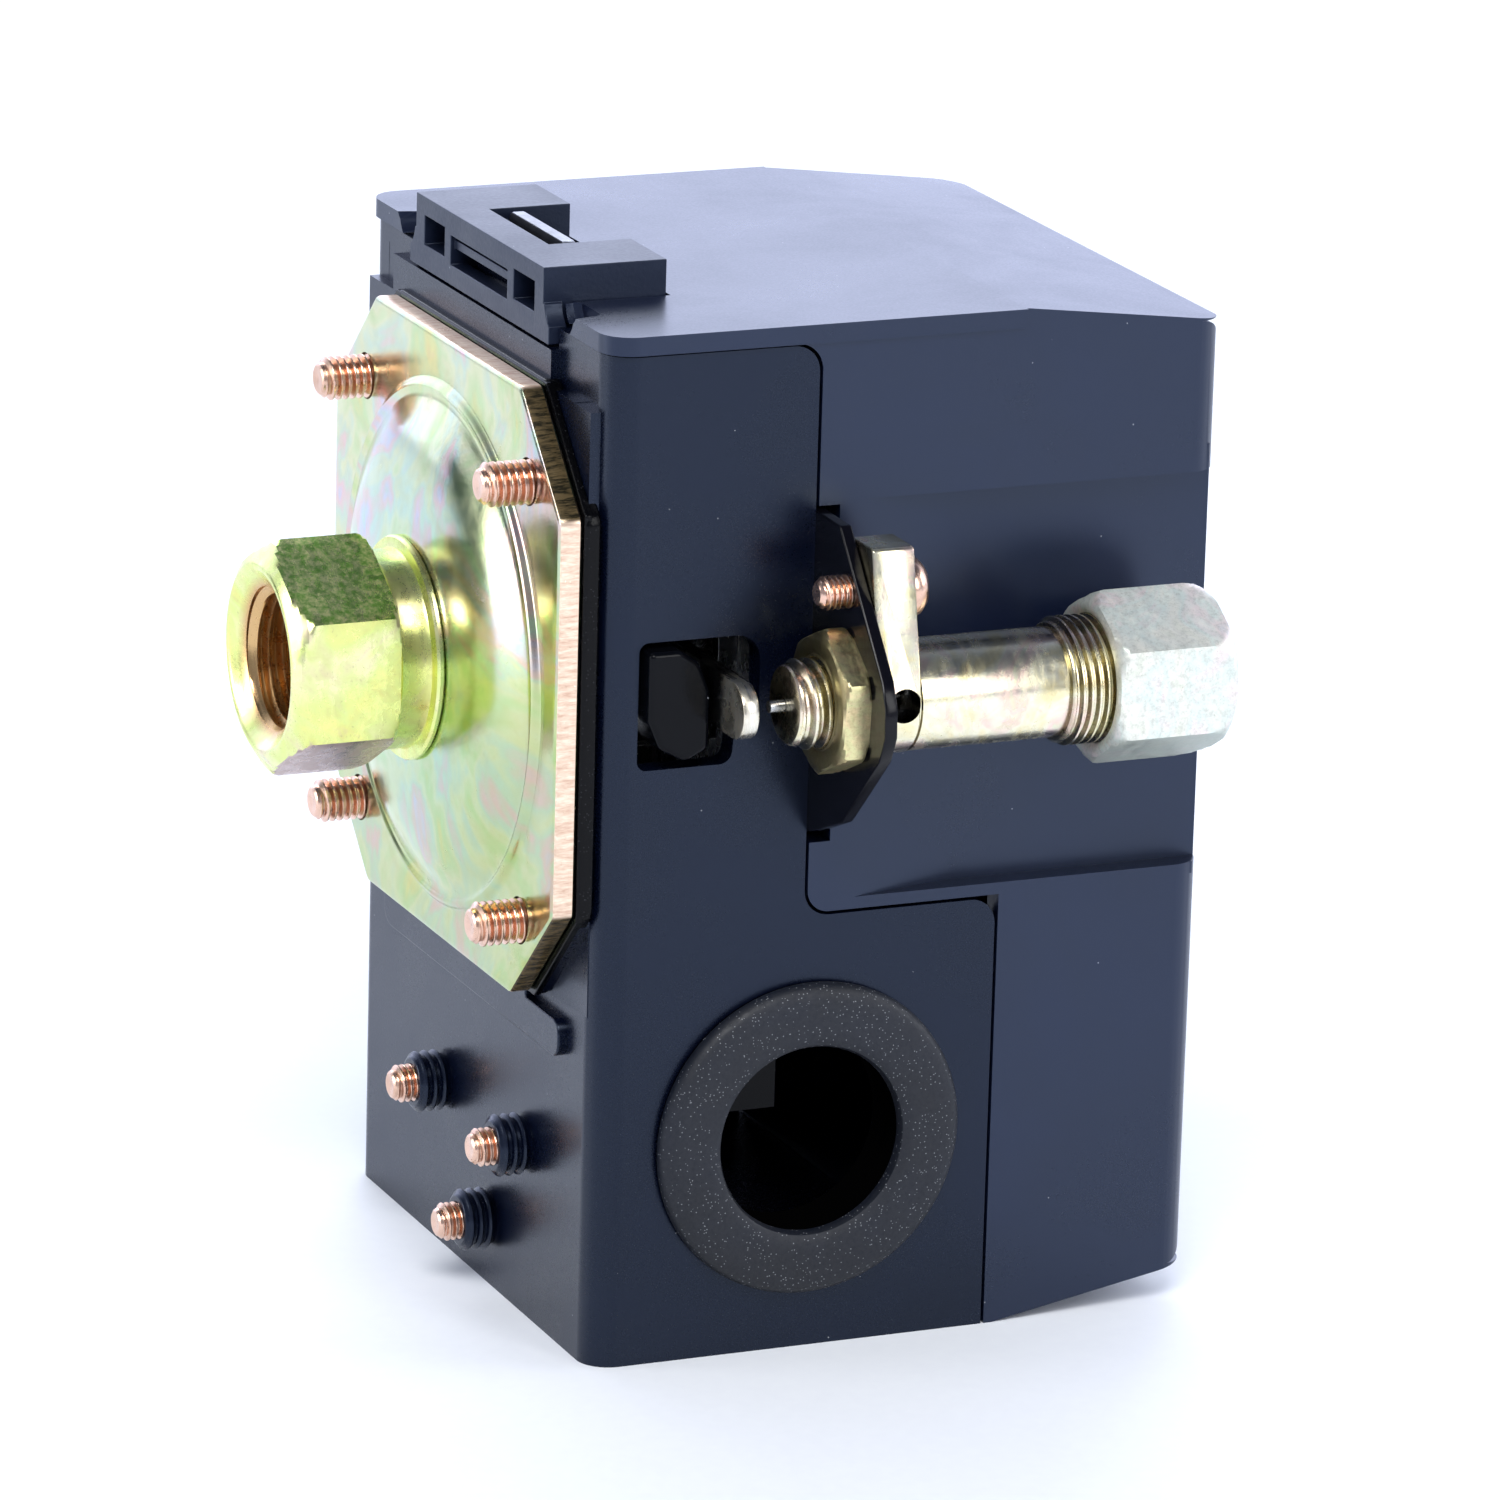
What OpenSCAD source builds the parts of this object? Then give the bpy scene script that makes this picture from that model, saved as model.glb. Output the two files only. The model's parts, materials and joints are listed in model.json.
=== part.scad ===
// Diaphragm pressure switch for a small air compressor, standing on its end.
// Origin: centre of the pressure port's mouth. The port looks along -X, the cover comes off
// along +X, the unloader valve runs along the -Y side, and +Z is up.

/* [Housing] */
// Width of the housing across the two cable entries
body_w = 58.5; // [56:0.5:62]
// Height of the base part, from the end it stands on to the cover's top plate
body_h = 92.3; // [90:0.5:95]
// Distance from the base's mounting face to the outer face of the cover
body_d = 58.8; // [57:0.2:62]
// Depth of the base beside the upper half of the cover
base_upper_d = 19.6; // [19:0.2:20.4]
// Depth of the base around the cable entries
base_lower_d = 38.2; // [37:0.2:40]
// Height of the deep lower part of the base
base_lower_h = 40.3; // [39:0.2:41]
// Wall thickness of the moulded housing
wall = 2.4; // [2:0.1:2.8]
// Radius of the long moulded corners
corner_r = 2.9; // [2:0.1:4]

/* [Cover] */
// Thickness of the cover's top plate
cover_plate_t = 1.9; // [1.5:0.1:2.5]
// Parting gap between base and cover
part_gap = 0.3; // [0.2:0.1:0.4]
// Height of the raised guard above the top plate
guard_h = 3.2; // [2.5:0.1:4]
// Width of the raised guard
guard_w = 31; // [29:0.5:33]
// Width of the slot between the guard's two arms
guard_slot_w = 14.4; // [13.8:0.2:15]

/* [Pressure connection] */
// Distance from the port's mouth to the base's mounting face
port_reach = 21.2; // [20.5:0.1:22]
// Size across flats of the port hexagon
port_af = 19; // [18:0.5:20]
// Radius of the port's threaded bore at its crests
port_bore_r = 5.72; // [5.5:0.02:6]
// Side of the square flange plate
flange_w = 55.4; // [54:0.2:56]
// Thickness of the flange plate
flange_t = 2.2; // [1.8:0.1:2.5]
// Spacing of the four flange screws
flange_pitch = 40; // [39:0.5:41]

/* [Cable entries] */
// Outer diameter of a cable grommet
grommet_d = 29; // [27:0.5:30]
// Diameter of the hole through a grommet
grommet_hole_d = 17.2; // [15:0.2:18]

/* [Unloader valve] */
// Distance from the housing's side to the valve axis
valve_off = 7.2; // [7.2:0.1:7.8]
// Height of the valve axis over the port axis
valve_z = 2.7; // [2:0.1:3]
// Diameter of the valve body
valve_d = 9.8; // [9:0.1:10.4]
// Size across flats of the compression nut
tube_nut_af = 13.8; // [13.4:0.2:13.8]
// Radius of the hole for the unloader tube
tube_r = 3.1; // [3:0.05:3.3]

/* [Mechanism] */
// Height of the rocker's pivot over the port axis
pivot_z = 22; // [21.5:0.5:22.5]
// Diameter of the rocker's pivot pin
pivot_d = 4; // [3.6:0.2:4]
// Wire diameter of the range spring
range_wire = 2; // [1.8:0.1:2.1]
// Turns of the range spring
range_turns = 5; // [4:1:6]

/* [Hidden] */
$fn = 64;
eps = 0.01;
side_y = body_w / 2;
face_x = port_reach;
end_z = -59.5;
base_top_z = end_z + body_h;
top_z = base_top_z + cover_plate_t;
part_x = face_x + base_upper_d;
deep_x = face_x + base_lower_d;
step_z = end_z + base_lower_h;
cover_x = face_x + body_d;
taper_x = face_x + 39.2;
top_drop = 2.4;
bottom_rise = 3.6;
floor_x = face_x + 3;
guard_end_x = face_x + 10.7;
lip_w = 33.8;
z_under = base_top_z - 1;
cover_screw_z = [-38, 22];
recess_x = [45.6, 56];
recess_z = [-17.8, 18.6];
recess_depth = 2.3;
black = "#33373d";
zinc = "#c9c27a";
steel = "#b9bcc2";
copper = "#b06a48";
brass = "#c2a14e";
rubber = "#26282b";

// Port side
hex_back_x = 10;
collar_x = 13.4;
plate_x = face_x - 3.8;
pad_x = face_x - 0.9;
plate_back_x = plate_x + flange_t;
dome_r = 22.5;

// Cable entries
entry = [41.6, -39.7];
entry_hole_r = 11;

// Contact set
block_y = [-20, 15];
strip_pitch = 8.5;
strip_y0 = -2.6;
strip_x = 38;
pad_z = -27;
terminal_z = -35;
block_screw_yz = [[7.4, -43.8], [-12.6, -43.5], [-4.6, -53.2]];

// Rocker and what it pushes
rocker_x = 31;
rocker_t = 1.5;
pivot_x = 34.5;
range_z = 4;
differential_z = -10;
cheek_y = 13.5;
frame_t = 1.5;
frame_end_x = 59;

// Valve
valve_y = -side_y - valve_off;
ear_z = valve_z + 9.8;
bracket_t = 1.2;
ear_t = 4;
bracket_back_x = part_x + bracket_t;
ear_back_x = bracket_back_x + ear_t;
valve_thread_x = 60.7;
nut_x = 64.1;
nut_end_x = 75.9;

// OFF lever
off_x = 25.8;
off_t = 1.2;
off_pivot_z = 14;
off_w = 13.6;

// Interval of the given width around zero
function about(width) = [-width / 2, width / 2];

module bar_x(r, x0, x1, y = 0, z = 0) {
    translate([x0, y, z]) rotate([0, 90, 0]) cylinder(r = r, h = x1 - x0);
}

module bar_y(r, y0, y1, x, z) {
    translate([x, y1, z]) rotate([90, 0, 0]) cylinder(r = r, h = y1 - y0);
}

module cone_x(r0, r1, x0, x1, y = 0, z = 0) {
    translate([x0, y, z]) rotate([0, 90, 0]) cylinder(r1 = r0, r2 = r1, h = x1 - x0);
}

module hex_x(af, x0, x1, y = 0, z = 0, turn = 0) {
    translate([x0, y, z]) rotate([turn, 0, 0]) rotate([0, 90, 0])
        cylinder(d = af / cos(30), h = x1 - x0, $fn = 6);
}

module block(x, y, z) {
    translate([x[0], y[0], z[0]]) cube([x[1] - x[0], y[1] - y[0], z[1] - z[0]]);
}

// Revolves an outline of [radius, x] points around the X direction
module turned(points, y = 0, z = 0) {
    translate([0, y, z]) rotate([0, 90, 0]) rotate_extrude() polygon(points);
}

// Puts an outline drawn as [x, z] into place, from y0 to y1
module side_slab(y0, y1) {
    translate([0, y1, 0]) rotate([90, 0, 0]) linear_extrude(y1 - y0) children();
}

// Square corner with the quarter disc taken out: it rounds the corner that it is cut from
module corner_cut(r) {
    difference() {
        translate([-eps, -eps]) square(r + eps);
        translate([r, r]) circle(r = r);
    }
}

// Rounded bar outline in the plane seen along Z, from x0 to x1, rounded at the x0 or the x1 end
module plan(x0, x1, half, r0, r1) {
    difference() {
        translate([x0, -half]) square([x1 - x0, 2 * half]);
        for (s = [-1, 1]) {
            if (r0 > 0) translate([x0, s * half]) mirror([0, s > 0 ? 1 : 0]) corner_cut(r0);
            if (r1 > 0) translate([x1, s * half]) mirror([1, 0]) mirror([0, s > 0 ? 1 : 0]) corner_cut(r1);
        }
    }
}

module base_side() {
    r = 2.4;
    difference() {
        union() {
            translate([face_x, end_z]) square([base_upper_d, body_h]);
            translate([face_x, end_z]) square([base_lower_d, base_lower_h]);
        }
        translate([deep_x, step_z]) rotate(180) corner_cut(r);
        translate([part_x, base_top_z]) rotate(180) corner_cut(r);
    }
    translate([part_x, step_z]) corner_cut(r);
}

module base_housing() {
    color(black) difference() {
        union() {
            intersection() {
                side_slab(-side_y, side_y) base_side();
                translate([0, 0, end_z - 1]) linear_extrude(body_h + 2)
                    plan(face_x, deep_x + 1, side_y, corner_r, 0);
            }
            // Raised pad behind the flange
            block([pad_x, face_x + 1], [-17.6, 21], [-33.3, 31]);
            block([pad_x, face_x + 1], [-27, 27], [-27.3, 27.6]);
            for (s = [-1, 1]) bar_x(3, pad_x, face_x + 1, 20.2 * s, 27.6);
            // Ribbed sleeves of the three block screws
            for (p = block_screw_yz) bar_x(2.4, face_x - 3.6, face_x + 1, p[0], p[1]);
        }
        // Inside
        block([floor_x, deep_x + 1], [-side_y + wall, side_y - wall], [end_z + wall, base_top_z - wall]);
        // Step that takes the front lip of the cover
        block([pad_x - 1, face_x + 1.1], [-17.2, 17.2], [31, base_top_z + 1]);
        // Opening for the OFF lever
        block([24.4, 33], [-7.6, 7.6], [base_top_z - wall - 1, base_top_z + 1]);
        // Piston bore and screw holes in the floor
        bar_x(12.5, pad_x - 1, floor_x + 1);
        for (y = [-1, 1], z = [-1, 1])
            bar_x(2.2, pad_x - 1, floor_x + 1, y * flange_pitch / 2, z * flange_pitch / 2);
        for (p = block_screw_yz) bar_x(1.75, face_x - 5, floor_x + 1, p[0], p[1]);
        // Cable entries
        bar_y(entry_hole_r, -side_y - 1, side_y + 1, entry[0], entry[1]);
        // Pocket for the rocker's side arm
        block([24.3, 36.2], [-side_y - 1, -side_y + wall + 1], [-4.6, 7.4]);
    }
    // Snap tongue behind the slot of the front lip
    color(black) block([face_x + 1.4, face_x + 2.8], [-6.2, 6.2], [base_top_z - wall, base_top_z + 1.6]);
}

module cover_side(inset) {
    g = part_gap;
    r = 2.4;
    difference() {
        polygon([
            [face_x - 0.2, base_top_z + 0.2 + inset], [face_x - 0.2, top_z - inset],
            [taper_x, top_z - inset], [cover_x - inset, top_z - top_drop - inset],
            [cover_x - inset, end_z + bottom_rise + inset], [taper_x, end_z + inset],
            [deep_x + g - inset, end_z + inset], [deep_x + g - inset, step_z + g - inset],
            [part_x + g - inset, step_z + g - inset], [part_x + g - inset, base_top_z + 0.2 + inset]
        ]);
        if (inset == 0) translate([cover_x, top_z - top_drop]) rotate(180) corner_cut(r);
        if (inset == 0) translate([cover_x, end_z + bottom_rise]) mirror([1, 0]) corner_cut(r);
        if (inset == 0) translate([part_x + g, step_z + g]) corner_cut(r - g);
    }
    // Bead that follows the rounded corner of the base
    if (inset == 0) translate([part_x + g, base_top_z + 0.2 + eps]) rotate(180)
        difference() { square(2.2); translate([2.5, 2.5]) circle(r = 2.5); }
}

// Outline seen along Z of a side recess, or of what backs it, from the side face inwards
module recess_outline(face_y, outer_y, x1) {
    polygon([
        [recess_x[0], outer_y], [x1, outer_y], [x1, face_y - recess_depth],
        [recess_x[1], face_y - recess_depth], [recess_x[0], face_y]
    ]);
}

module top_cover() {
    notch_w = guard_w + 2 * part_gap;
    lip_notch_w = lip_w + 2 * part_gap;
    color(black) difference() {
        union() {
            difference() {
                intersection() {
                    side_slab(-side_y - 0.4, side_y + 0.4) cover_side(0);
                    translate([0, 0, end_z - 1]) linear_extrude(body_h + 8)
                        plan(face_x - 0.4, cover_x, side_y, corner_r, corner_r);
                }
                // Inside
                intersection() {
                    side_slab(-side_y + wall, side_y - wall) cover_side(wall);
                    block([part_x - 3, cover_x], about(body_w), [end_z, top_z]);
                }
            }
            // Overhanging rim of the top plate
            translate([0, 0, base_top_z + 0.2]) linear_extrude(cover_plate_t - 0.2)
                plan(face_x - 0.3, taper_x, side_y + 0.4, corner_r, 0);
            // Walls that back the side recesses
            for (m = [0, 1]) mirror([0, m, 0]) translate([0, 0, step_z + part_gap])
                linear_extrude(recess_z[1] + wall - step_z - part_gap)
                    recess_outline(side_y - wall, side_y - 0.5, cover_x - 1);
            // Posts behind the cover screws
            for (z = cover_screw_z) bar_x(5.2, 62.5, cover_x - 1, 0, z);
        }
        for (z = cover_screw_z) {
            bar_x(2.1, 60, cover_x + 1, 0, z);
            bar_x(4.1, cover_x - 2.6, cover_x + 1, 0, z);
        }
        // Notch of the top plate around the lever guard
        block([face_x - 2, guard_end_x + part_gap], about(notch_w), [z_under, top_z + 1]);
        block([face_x - 2, face_x + 1.1], about(lip_notch_w), [z_under, top_z + 1]);
        // Round finger notches in the rim
        for (s = [-1, 1]) translate([face_x - 2.5, 19.3 * s, top_z + 1.6])
            rotate([0, 75, 0]) cylinder(r = 3.2, h = 6.5, center = true);
        // Recess on both sides
        for (m = [0, 1]) mirror([0, m, 0]) translate([0, 0, recess_z[0]])
            linear_extrude(recess_z[1] - recess_z[0])
                recess_outline(side_y, side_y + 0.5, cover_x + 1);
        // Notch for the valve bracket
        block([part_x - 1, part_x + 2.3], [-side_y - 1, -side_y + wall + 1], [-12.4, 18.3]);
    }
}

// Guard around the OFF lever, with a lip that hooks over the front of the base
module lever_guard() {
    guard_top = top_z + guard_h;
    color(black) difference() {
        union() {
            difference() {
                block([pad_x, guard_end_x], about(guard_w), [base_top_z, guard_top]);
                block(
                    [face_x + 2.9, guard_end_x + 1], about(guard_slot_w),
                    [z_under, guard_top + 1]
                );
            }
            block([pad_x, face_x + 0.8], about(lip_w), [31.3, top_z]);
        }
        for (s = [-1, 1])
            block([face_x - 2, face_x + 9.4], [10.9 * s - 2.5, 10.9 * s + 2.5], [33.5, 36.2]);
        block([face_x - 2, face_x + 4], about(13.8), [33.1, 35.8]);
        block([face_x + 0.8, face_x + 4], about(13.8), [z_under, 35.8]);
    }
}

module cover_screws() {
    color(steel) for (z = cover_screw_z) difference() {
        union() {
            bar_x(3.8, cover_x - 2.6, cover_x - 0.4, 0, z);
            bar_x(1.95, 60.4, cover_x - 2.6, 0, z);
        }
        block([cover_x - 1.6, cover_x + 1], [-0.5, 0.5], [z - 4, z + 4]);
    }
}

// Outline of the flange plate with its corners cut off
module flange_outline(w, cut) {
    h = w / 2;
    polygon([
        [-h + cut, -h], [h - cut, -h], [h, -h + cut], [h, h - cut],
        [h - cut, h], [-h + cut, h], [-h, h - cut], [-h, -h + cut]
    ]);
}

module flange_slab(x0, x1, w, cut) {
    translate([x0, 0, 0.3]) rotate([90, 0, 90]) linear_extrude(x1 - x0) flange_outline(w, cut);
}

module flange_holes(r) {
    for (y = [-1, 1], z = [-1, 1])
        bar_x(r, plate_x - 2, floor_x + 2, y * flange_pitch / 2, z * flange_pitch / 2);
}

module flange_plate() {
    color(zinc) difference() {
        union() {
            flange_slab(plate_x, plate_back_x, flange_w, 9.8);
            turned([
                [9, plate_x + 1], [9, collar_x + 0.6], [10.6, collar_x + 0.9], [12.2, collar_x + 1.7],
                [14, collar_x + 2.2], [17, collar_x + 2.5], [20, collar_x + 2.9], [21.2, collar_x + 3.2],
                [21.4, collar_x + 3.6], [dome_r - 0.1, plate_x - 0.2], [dome_r, plate_x + 1]
            ]);
        }
        // Pressure chamber behind the dome
        turned([
            [0, plate_back_x + 1], [0, collar_x + 2.2], [12, collar_x + 3.4],
            [18.5, collar_x + 4.6], [19.4, plate_back_x + 1]
        ]);
        bar_x(9, collar_x - 2, plate_back_x + 1);
        flange_holes(2.15);
    }
}

module port_fitting() {
    bevel = 1.2;
    big = port_af / 2 / cos(30) + 0.3;
    color(zinc) difference() {
        union() {
            intersection() {
                hex_x(port_af, 0, hex_back_x);
                turned([
                    [0, 0], [port_af / 2 - 1.1, 0], [port_af / 2 + 0.3, bevel * 0.5], [big, bevel * 1.4],
                    [big, hex_back_x - 0.5], [big - 1, hex_back_x], [0, hex_back_x]
                ]);
            }
            bar_x(9, hex_back_x, collar_x + 3);
            turned([
                [0, collar_x - 0.3], [9.7, collar_x - 0.3], [10.1, collar_x], [10.1, collar_x + 0.2],
                [9.7, collar_x + 0.6], [0, collar_x + 0.6]
            ]);
        }
        bar_x(port_bore_r, -1, 12.5);
        bar_x(3, 12, collar_x + 4);
    }
}

module diaphragm() {
    color(rubber) difference() {
        flange_slab(plate_back_x, pad_x, flange_w + 0.6, 9.6);
        flange_holes(2.2);
    }
}

module screw_x(head_r, head_h, shank_r, x_head, x_tip, y, z) {
    union() {
        bar_x(head_r, x_head, x_head + head_h, y, z);
        bar_x(shank_r, x_tip + 0.6, x_head, y, z);
        cone_x(shank_r - 0.6, shank_r, x_tip, x_tip + 0.6, y, z);
    }
}

module flange_screws() {
    color(copper) for (y = [-1, 1], z = [-1, 1])
        screw_x(3.5, 2.4, 2, floor_x + frame_t, plate_x - 4.7, y * flange_pitch / 2, z * flange_pitch / 2);
}

module main_frame() {
    color(steel) difference() {
        union() {
            block([floor_x, floor_x + frame_t], [-24.5, 24.5], [-24, 25.5]);
            for (s = [-1, 1]) side_slab(
                s < 0 ? -cheek_y - frame_t : cheek_y, s < 0 ? -cheek_y : cheek_y + frame_t
            ) cheek_outline();
            // Lugs of the OFF lever's pin
            for (s = [-1, 1]) side_slab(s < 0 ? -11 : 9.6, s < 0 ? -9.6 : 11)
                polygon([[floor_x, 10.5], [29, 10.5], [29, 17.5], [floor_x, 17.5]]);
        }
        bar_x(9, floor_x - 1, floor_x + 4);
        flange_holes(2.15);
        bar_y(pivot_d / 2, -20, 20, pivot_x, pivot_z);
        bar_y(1, -12, 12, off_x + off_t / 2, off_pivot_z);
        // Room for the OFF lever's eye
        block([floor_x - 1, floor_x + frame_t + 1], [-7.4, 7.4], [11.2, 26]);
        // Window for the rocker's side arm
        block([26.8, 38], [-cheek_y - 3, -cheek_y + 1], [-6.5, 9.5]);
    }
}

module cheek_outline() {
    polygon([
        [floor_x, -15], [frame_end_x - 14, -15], [frame_end_x, -13],
        [frame_end_x, 12], [frame_end_x - 16, 25.5], [floor_x, 25.5]
    ]);
}

module frame_top_bar() {
    color(steel) difference() {
        block([frame_end_x, frame_end_x + 1.6], [-cheek_y - frame_t, cheek_y + frame_t], [-15, 12]);
        bar_x(3.1, frame_end_x - 1, frame_end_x + 3, 0, range_z);
        bar_x(2.1, frame_end_x - 1, frame_end_x + 3, 0, differential_z);
    }
}

module contact_block() {
    color(black) difference() {
        union() {
            block([floor_x, floor_x + 3.3], block_y, [-56.4, -24.5]);
            block([floor_x, strip_x], block_y, [-40, -24.5]);
            // Walls between the poles
            for (n = [-2, 0, 2]) translate([0, strip_y0 + n * strip_pitch, 0])
                block([strip_x - 1, strip_x + 4.5], about(1), [-40, -30.8]);
        }
        for (p = block_screw_yz) bar_x(1.75, floor_x - 1, floor_x + 5, p[0], p[1]);
        at_poles() bar_x(1.95, strip_x - 8, strip_x + 1, 0, terminal_z);
        // Guide slot of the contact carrier
        block([floor_x + 4, strip_x + 1], [-8.4, 3.4], [-25.6, -24]);
    }
}

module block_screws() {
    color(copper) for (p = block_screw_yz)
        screw_x(3, 2, 1.75, floor_x + 3.3, face_x - 5.2, p[0], p[1]);
}

module at_poles() {
    for (n = [-1.5:1:1.5]) translate([0, strip_y0 + n * strip_pitch, 0]) children();
}

module fixed_contacts() {
    color(brass) at_poles() difference() {
        block([strip_x, strip_x + 0.8], [-3.3, 3.3], [-39.4, -24.9]);
        bar_x(2.1, strip_x - 1, strip_x + 2, 0, terminal_z);
    }
}

module fixed_contact_tips() {
    color("silver") at_poles() bar_x(2, strip_x + 0.8, strip_x + 1.5, 0, pad_z);
}

module terminal_clamps() {
    color(zinc) at_poles() difference() {
        block([strip_x + 0.8, strip_x + 1.9], [-3.4, 3.4], [terminal_z - 3.4, terminal_z + 3.4]);
        bar_x(2.1, strip_x - 1, strip_x + 3, 0, terminal_z);
    }
}

module terminal_screws() {
    color(steel) at_poles() difference() {
        screw_x(3.2, 2.2, 1.95, strip_x + 1.9, strip_x - 6, 0, terminal_z);
        block([strip_x + 3.3, strip_x + 5], [-0.5, 0.5], [terminal_z - 4, terminal_z + 4]);
    }
}

module ground_screws() {
    color("#4f9a4a") for (z = [-29.3, -50]) difference() {
        screw_x(3.2, 2.2, 1.95, floor_x + 1, floor_x, 21.5, z);
        block([floor_x + 2.2, floor_x + 5], [18, 25], [z - 0.5, z + 0.5]);
    }
}

// Rubber grommet on the side that s points to
module grommet(s) {
    bulge = 1.8;
    translate([entry[0], s * side_y, entry[1]]) rotate([s < 0 ? 90 : -90, 0, 0]) rotate_extrude()
        polygon([
            [grommet_hole_d / 2, -5.5], [entry_hole_r - 1.2, -5.5], [entry_hole_r + 1, -4.6],
            [entry_hole_r + 1, -wall], [entry_hole_r, -wall], [entry_hole_r, 0],
            [grommet_d / 2, 0], [grommet_d / 2, 0.7], [grommet_d / 2 - 0.7, bulge],
            [grommet_hole_d / 2 + 0.7, bulge], [grommet_hole_d / 2, bulge - 0.5]
        ]);
}

module grommet_front() { color(rubber) grommet(-1); }
module grommet_rear() { color(rubber) grommet(1); }

module piston() {
    color(brass) union() {
        bar_x(12, pad_x + eps, pad_x + 1.6);
        bar_x(8.5, pad_x + 1, pad_x + 3.2);
        bar_x(4, pad_x + 2, rocker_x - 4.1);
        translate([rocker_x - 4.1, 0, 0]) sphere(r = 4);
    }
}

module rocker_lever() {
    arm_z = [-0.4, 4.7];
    color(steel) difference() {
        union() {
            block([rocker_x, rocker_x + rocker_t], [-12.4, 12.4], [-14, pivot_z - 1]);
            block([rocker_x, rocker_x + rocker_t], [-3.5, 3.5], [-21.6, -13]);
            // Ears on the pivot pin
            for (s = [-1, 1]) side_slab(s < 0 ? -12.4 : 10.9, s < 0 ? -10.9 : 12.4) union() {
                translate([pivot_x, pivot_z]) circle(r = 3.2);
                translate([rocker_x, pivot_z - 4]) square([pivot_x - rocker_x, 7.2]);
            }
            // Side arm that reaches out of the pocket to the valve pin
            block([rocker_x, rocker_x + rocker_t], [valve_y + 1.6, -12], arm_z);
            bar_x(2.55, rocker_x, rocker_x + rocker_t, valve_y + 1.6, arm_z[0] + 2.55);
            // Seats inside the two springs
            bar_x(4, rocker_x + 1, rocker_x + 2.6, 0, range_z);
            bar_x(2.2, rocker_x + 1, rocker_x + 2.6, 0, differential_z);
        }
        bar_y(pivot_d / 2 + 0.05, -20, 20, pivot_x, pivot_z);
    }
}

module rocker_end_cap() {
    color(black) side_slab(-side_y - 1.4, -side_y + 3.5) {
        translate([25.1, -1.6]) square([5.9, 8.1]);
        translate([28.05, -1.2]) circle(r = 2.8);
    }
}

module pivot_pin() {
    color(steel) bar_y(pivot_d / 2, -cheek_y - frame_t - 0.8, cheek_y + frame_t + 0.8, pivot_x, pivot_z);
}

module contact_carrier() {
    color("#8c5a3a") difference() {
        union() {
            block([28.6, 46.6], [-8, 3], [-24.8, -17.6]);
            block([44.6, 46.6], [-17.5, 12.3], [-29.5, -18.6]);
            for (s = [-1, 1]) bar_x(1.1, 41, 45, strip_y0 + s * strip_pitch, pad_z);
        }
        // Notch around the rocker's tip
        block([rocker_x - 0.6, rocker_x + rocker_t + 0.7], [-4.4, 4.4], [-22.6, -17]);
    }
}

module contact_bridges() {
    color(copper) for (s = [-1, 1]) translate([0, strip_y0 + s * strip_pitch, 0]) difference() {
        block([strip_x + 2.3, strip_x + 3.3], [-6.3, 6.3], [pad_z - 2.2, pad_z + 2]);
        bar_x(1.25, strip_x, strip_x + 5, 0, pad_z);
    }
}

module contact_bridge_tips() {
    color("silver") at_poles() bar_x(1.9, strip_x + 1.6, strip_x + 2.3, 0, pad_z);
}

// Wire swept along a coil that is wound along X
module coil(r, wire, x0, x1, turns, steps, sides) {
    length = x1 - x0 - wire;
    count = turns * steps;
    ring = [for (n = [0:count], k = [0:sides - 1])
        let (t = n / count, a = 360 * turns * t, b = 360 * k / sides, c = r + wire / 2 * cos(b))
        [x0 + wire / 2 + length * t + wire / 2 * sin(b), c * cos(a), c * sin(a)]];
    walls = [for (n = [0:count - 1], k = [0:sides - 1])
        let (a = n * sides + k, b = n * sides + (k + 1) % sides)
        [a, b, b + sides, a + sides]];
    first = [for (k = [sides - 1:-1:0]) k];
    last = [for (k = [0:sides - 1]) count * sides + k];
    polyhedron(points = ring, faces = concat(walls, [first, last]), convexity = 8);
}

module contact_springs() {
    color(steel) for (s = [-1, 1]) translate([0, strip_y0 + s * strip_pitch, pad_z])
        coil(2, 0.5, strip_x + 3.3, 44.6, 3, 12, 6);
}

module range_spring() {
    color(steel) translate([0, 0, range_z])
        coil(5.4, range_wire, rocker_x + rocker_t, 49, range_turns, 20, 8);
}

module adjuster(r, af, z, x0) {
    union() {
        bar_x(r, x0, frame_end_x + 1.6, 0, z);
        hex_x(af, frame_end_x + 1.6, frame_end_x + 5, 0, z);
    }
}

module range_screw() { color(zinc) adjuster(3, 10, range_z, 44.5); }

module range_seat() {
    color(steel) difference() {
        block([49, 52], [-12.9, 12.9], [range_z - 8, range_z + 7.5]);
        bar_x(3.05, 48, 53, 0, range_z);
    }
}

module differential_spring() {
    color(steel) translate([0, 0, differential_z])
        coil(3.1, 0.9, rocker_x + rocker_t, 45, 5, 16, 6);
}

module differential_screw() { color(zinc) adjuster(2, 7, differential_z, 42); }

module differential_seat() {
    color(steel) difference() {
        block([45, 47.5], [-12.9, 12.9], [differential_z - 4.5, differential_z + 5.3]);
        bar_x(2.05, 44, 49, 0, differential_z);
    }
}

module off_lever() {
    mid_x = off_x + off_t / 2;
    color(steel) difference() {
        union() {
            block([off_x, off_x + off_t], [-off_w / 2, off_w / 2], [off_pivot_z, 34]);
            block([off_x, off_x + off_t], [-off_w / 2 + 1, off_w / 2 - 1], [34, 37.8]);
            block([off_x, off_x + off_t], [-off_w / 2, off_w / 2], [33.5, 36.8]);
            for (s = [-1, 1]) bar_x(1, off_x, off_x + off_t, s * (off_w / 2 - 1), 36.8);
            bar_y(2, -off_w / 2, off_w / 2, mid_x, off_pivot_z);
        }
        bar_y(1.05, -off_w, off_w, mid_x, off_pivot_z);
    }
}

module off_lever_pin() {
    color(steel) bar_y(1, -11.6, 11.6, off_x + off_t / 2, off_pivot_z);
}

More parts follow.
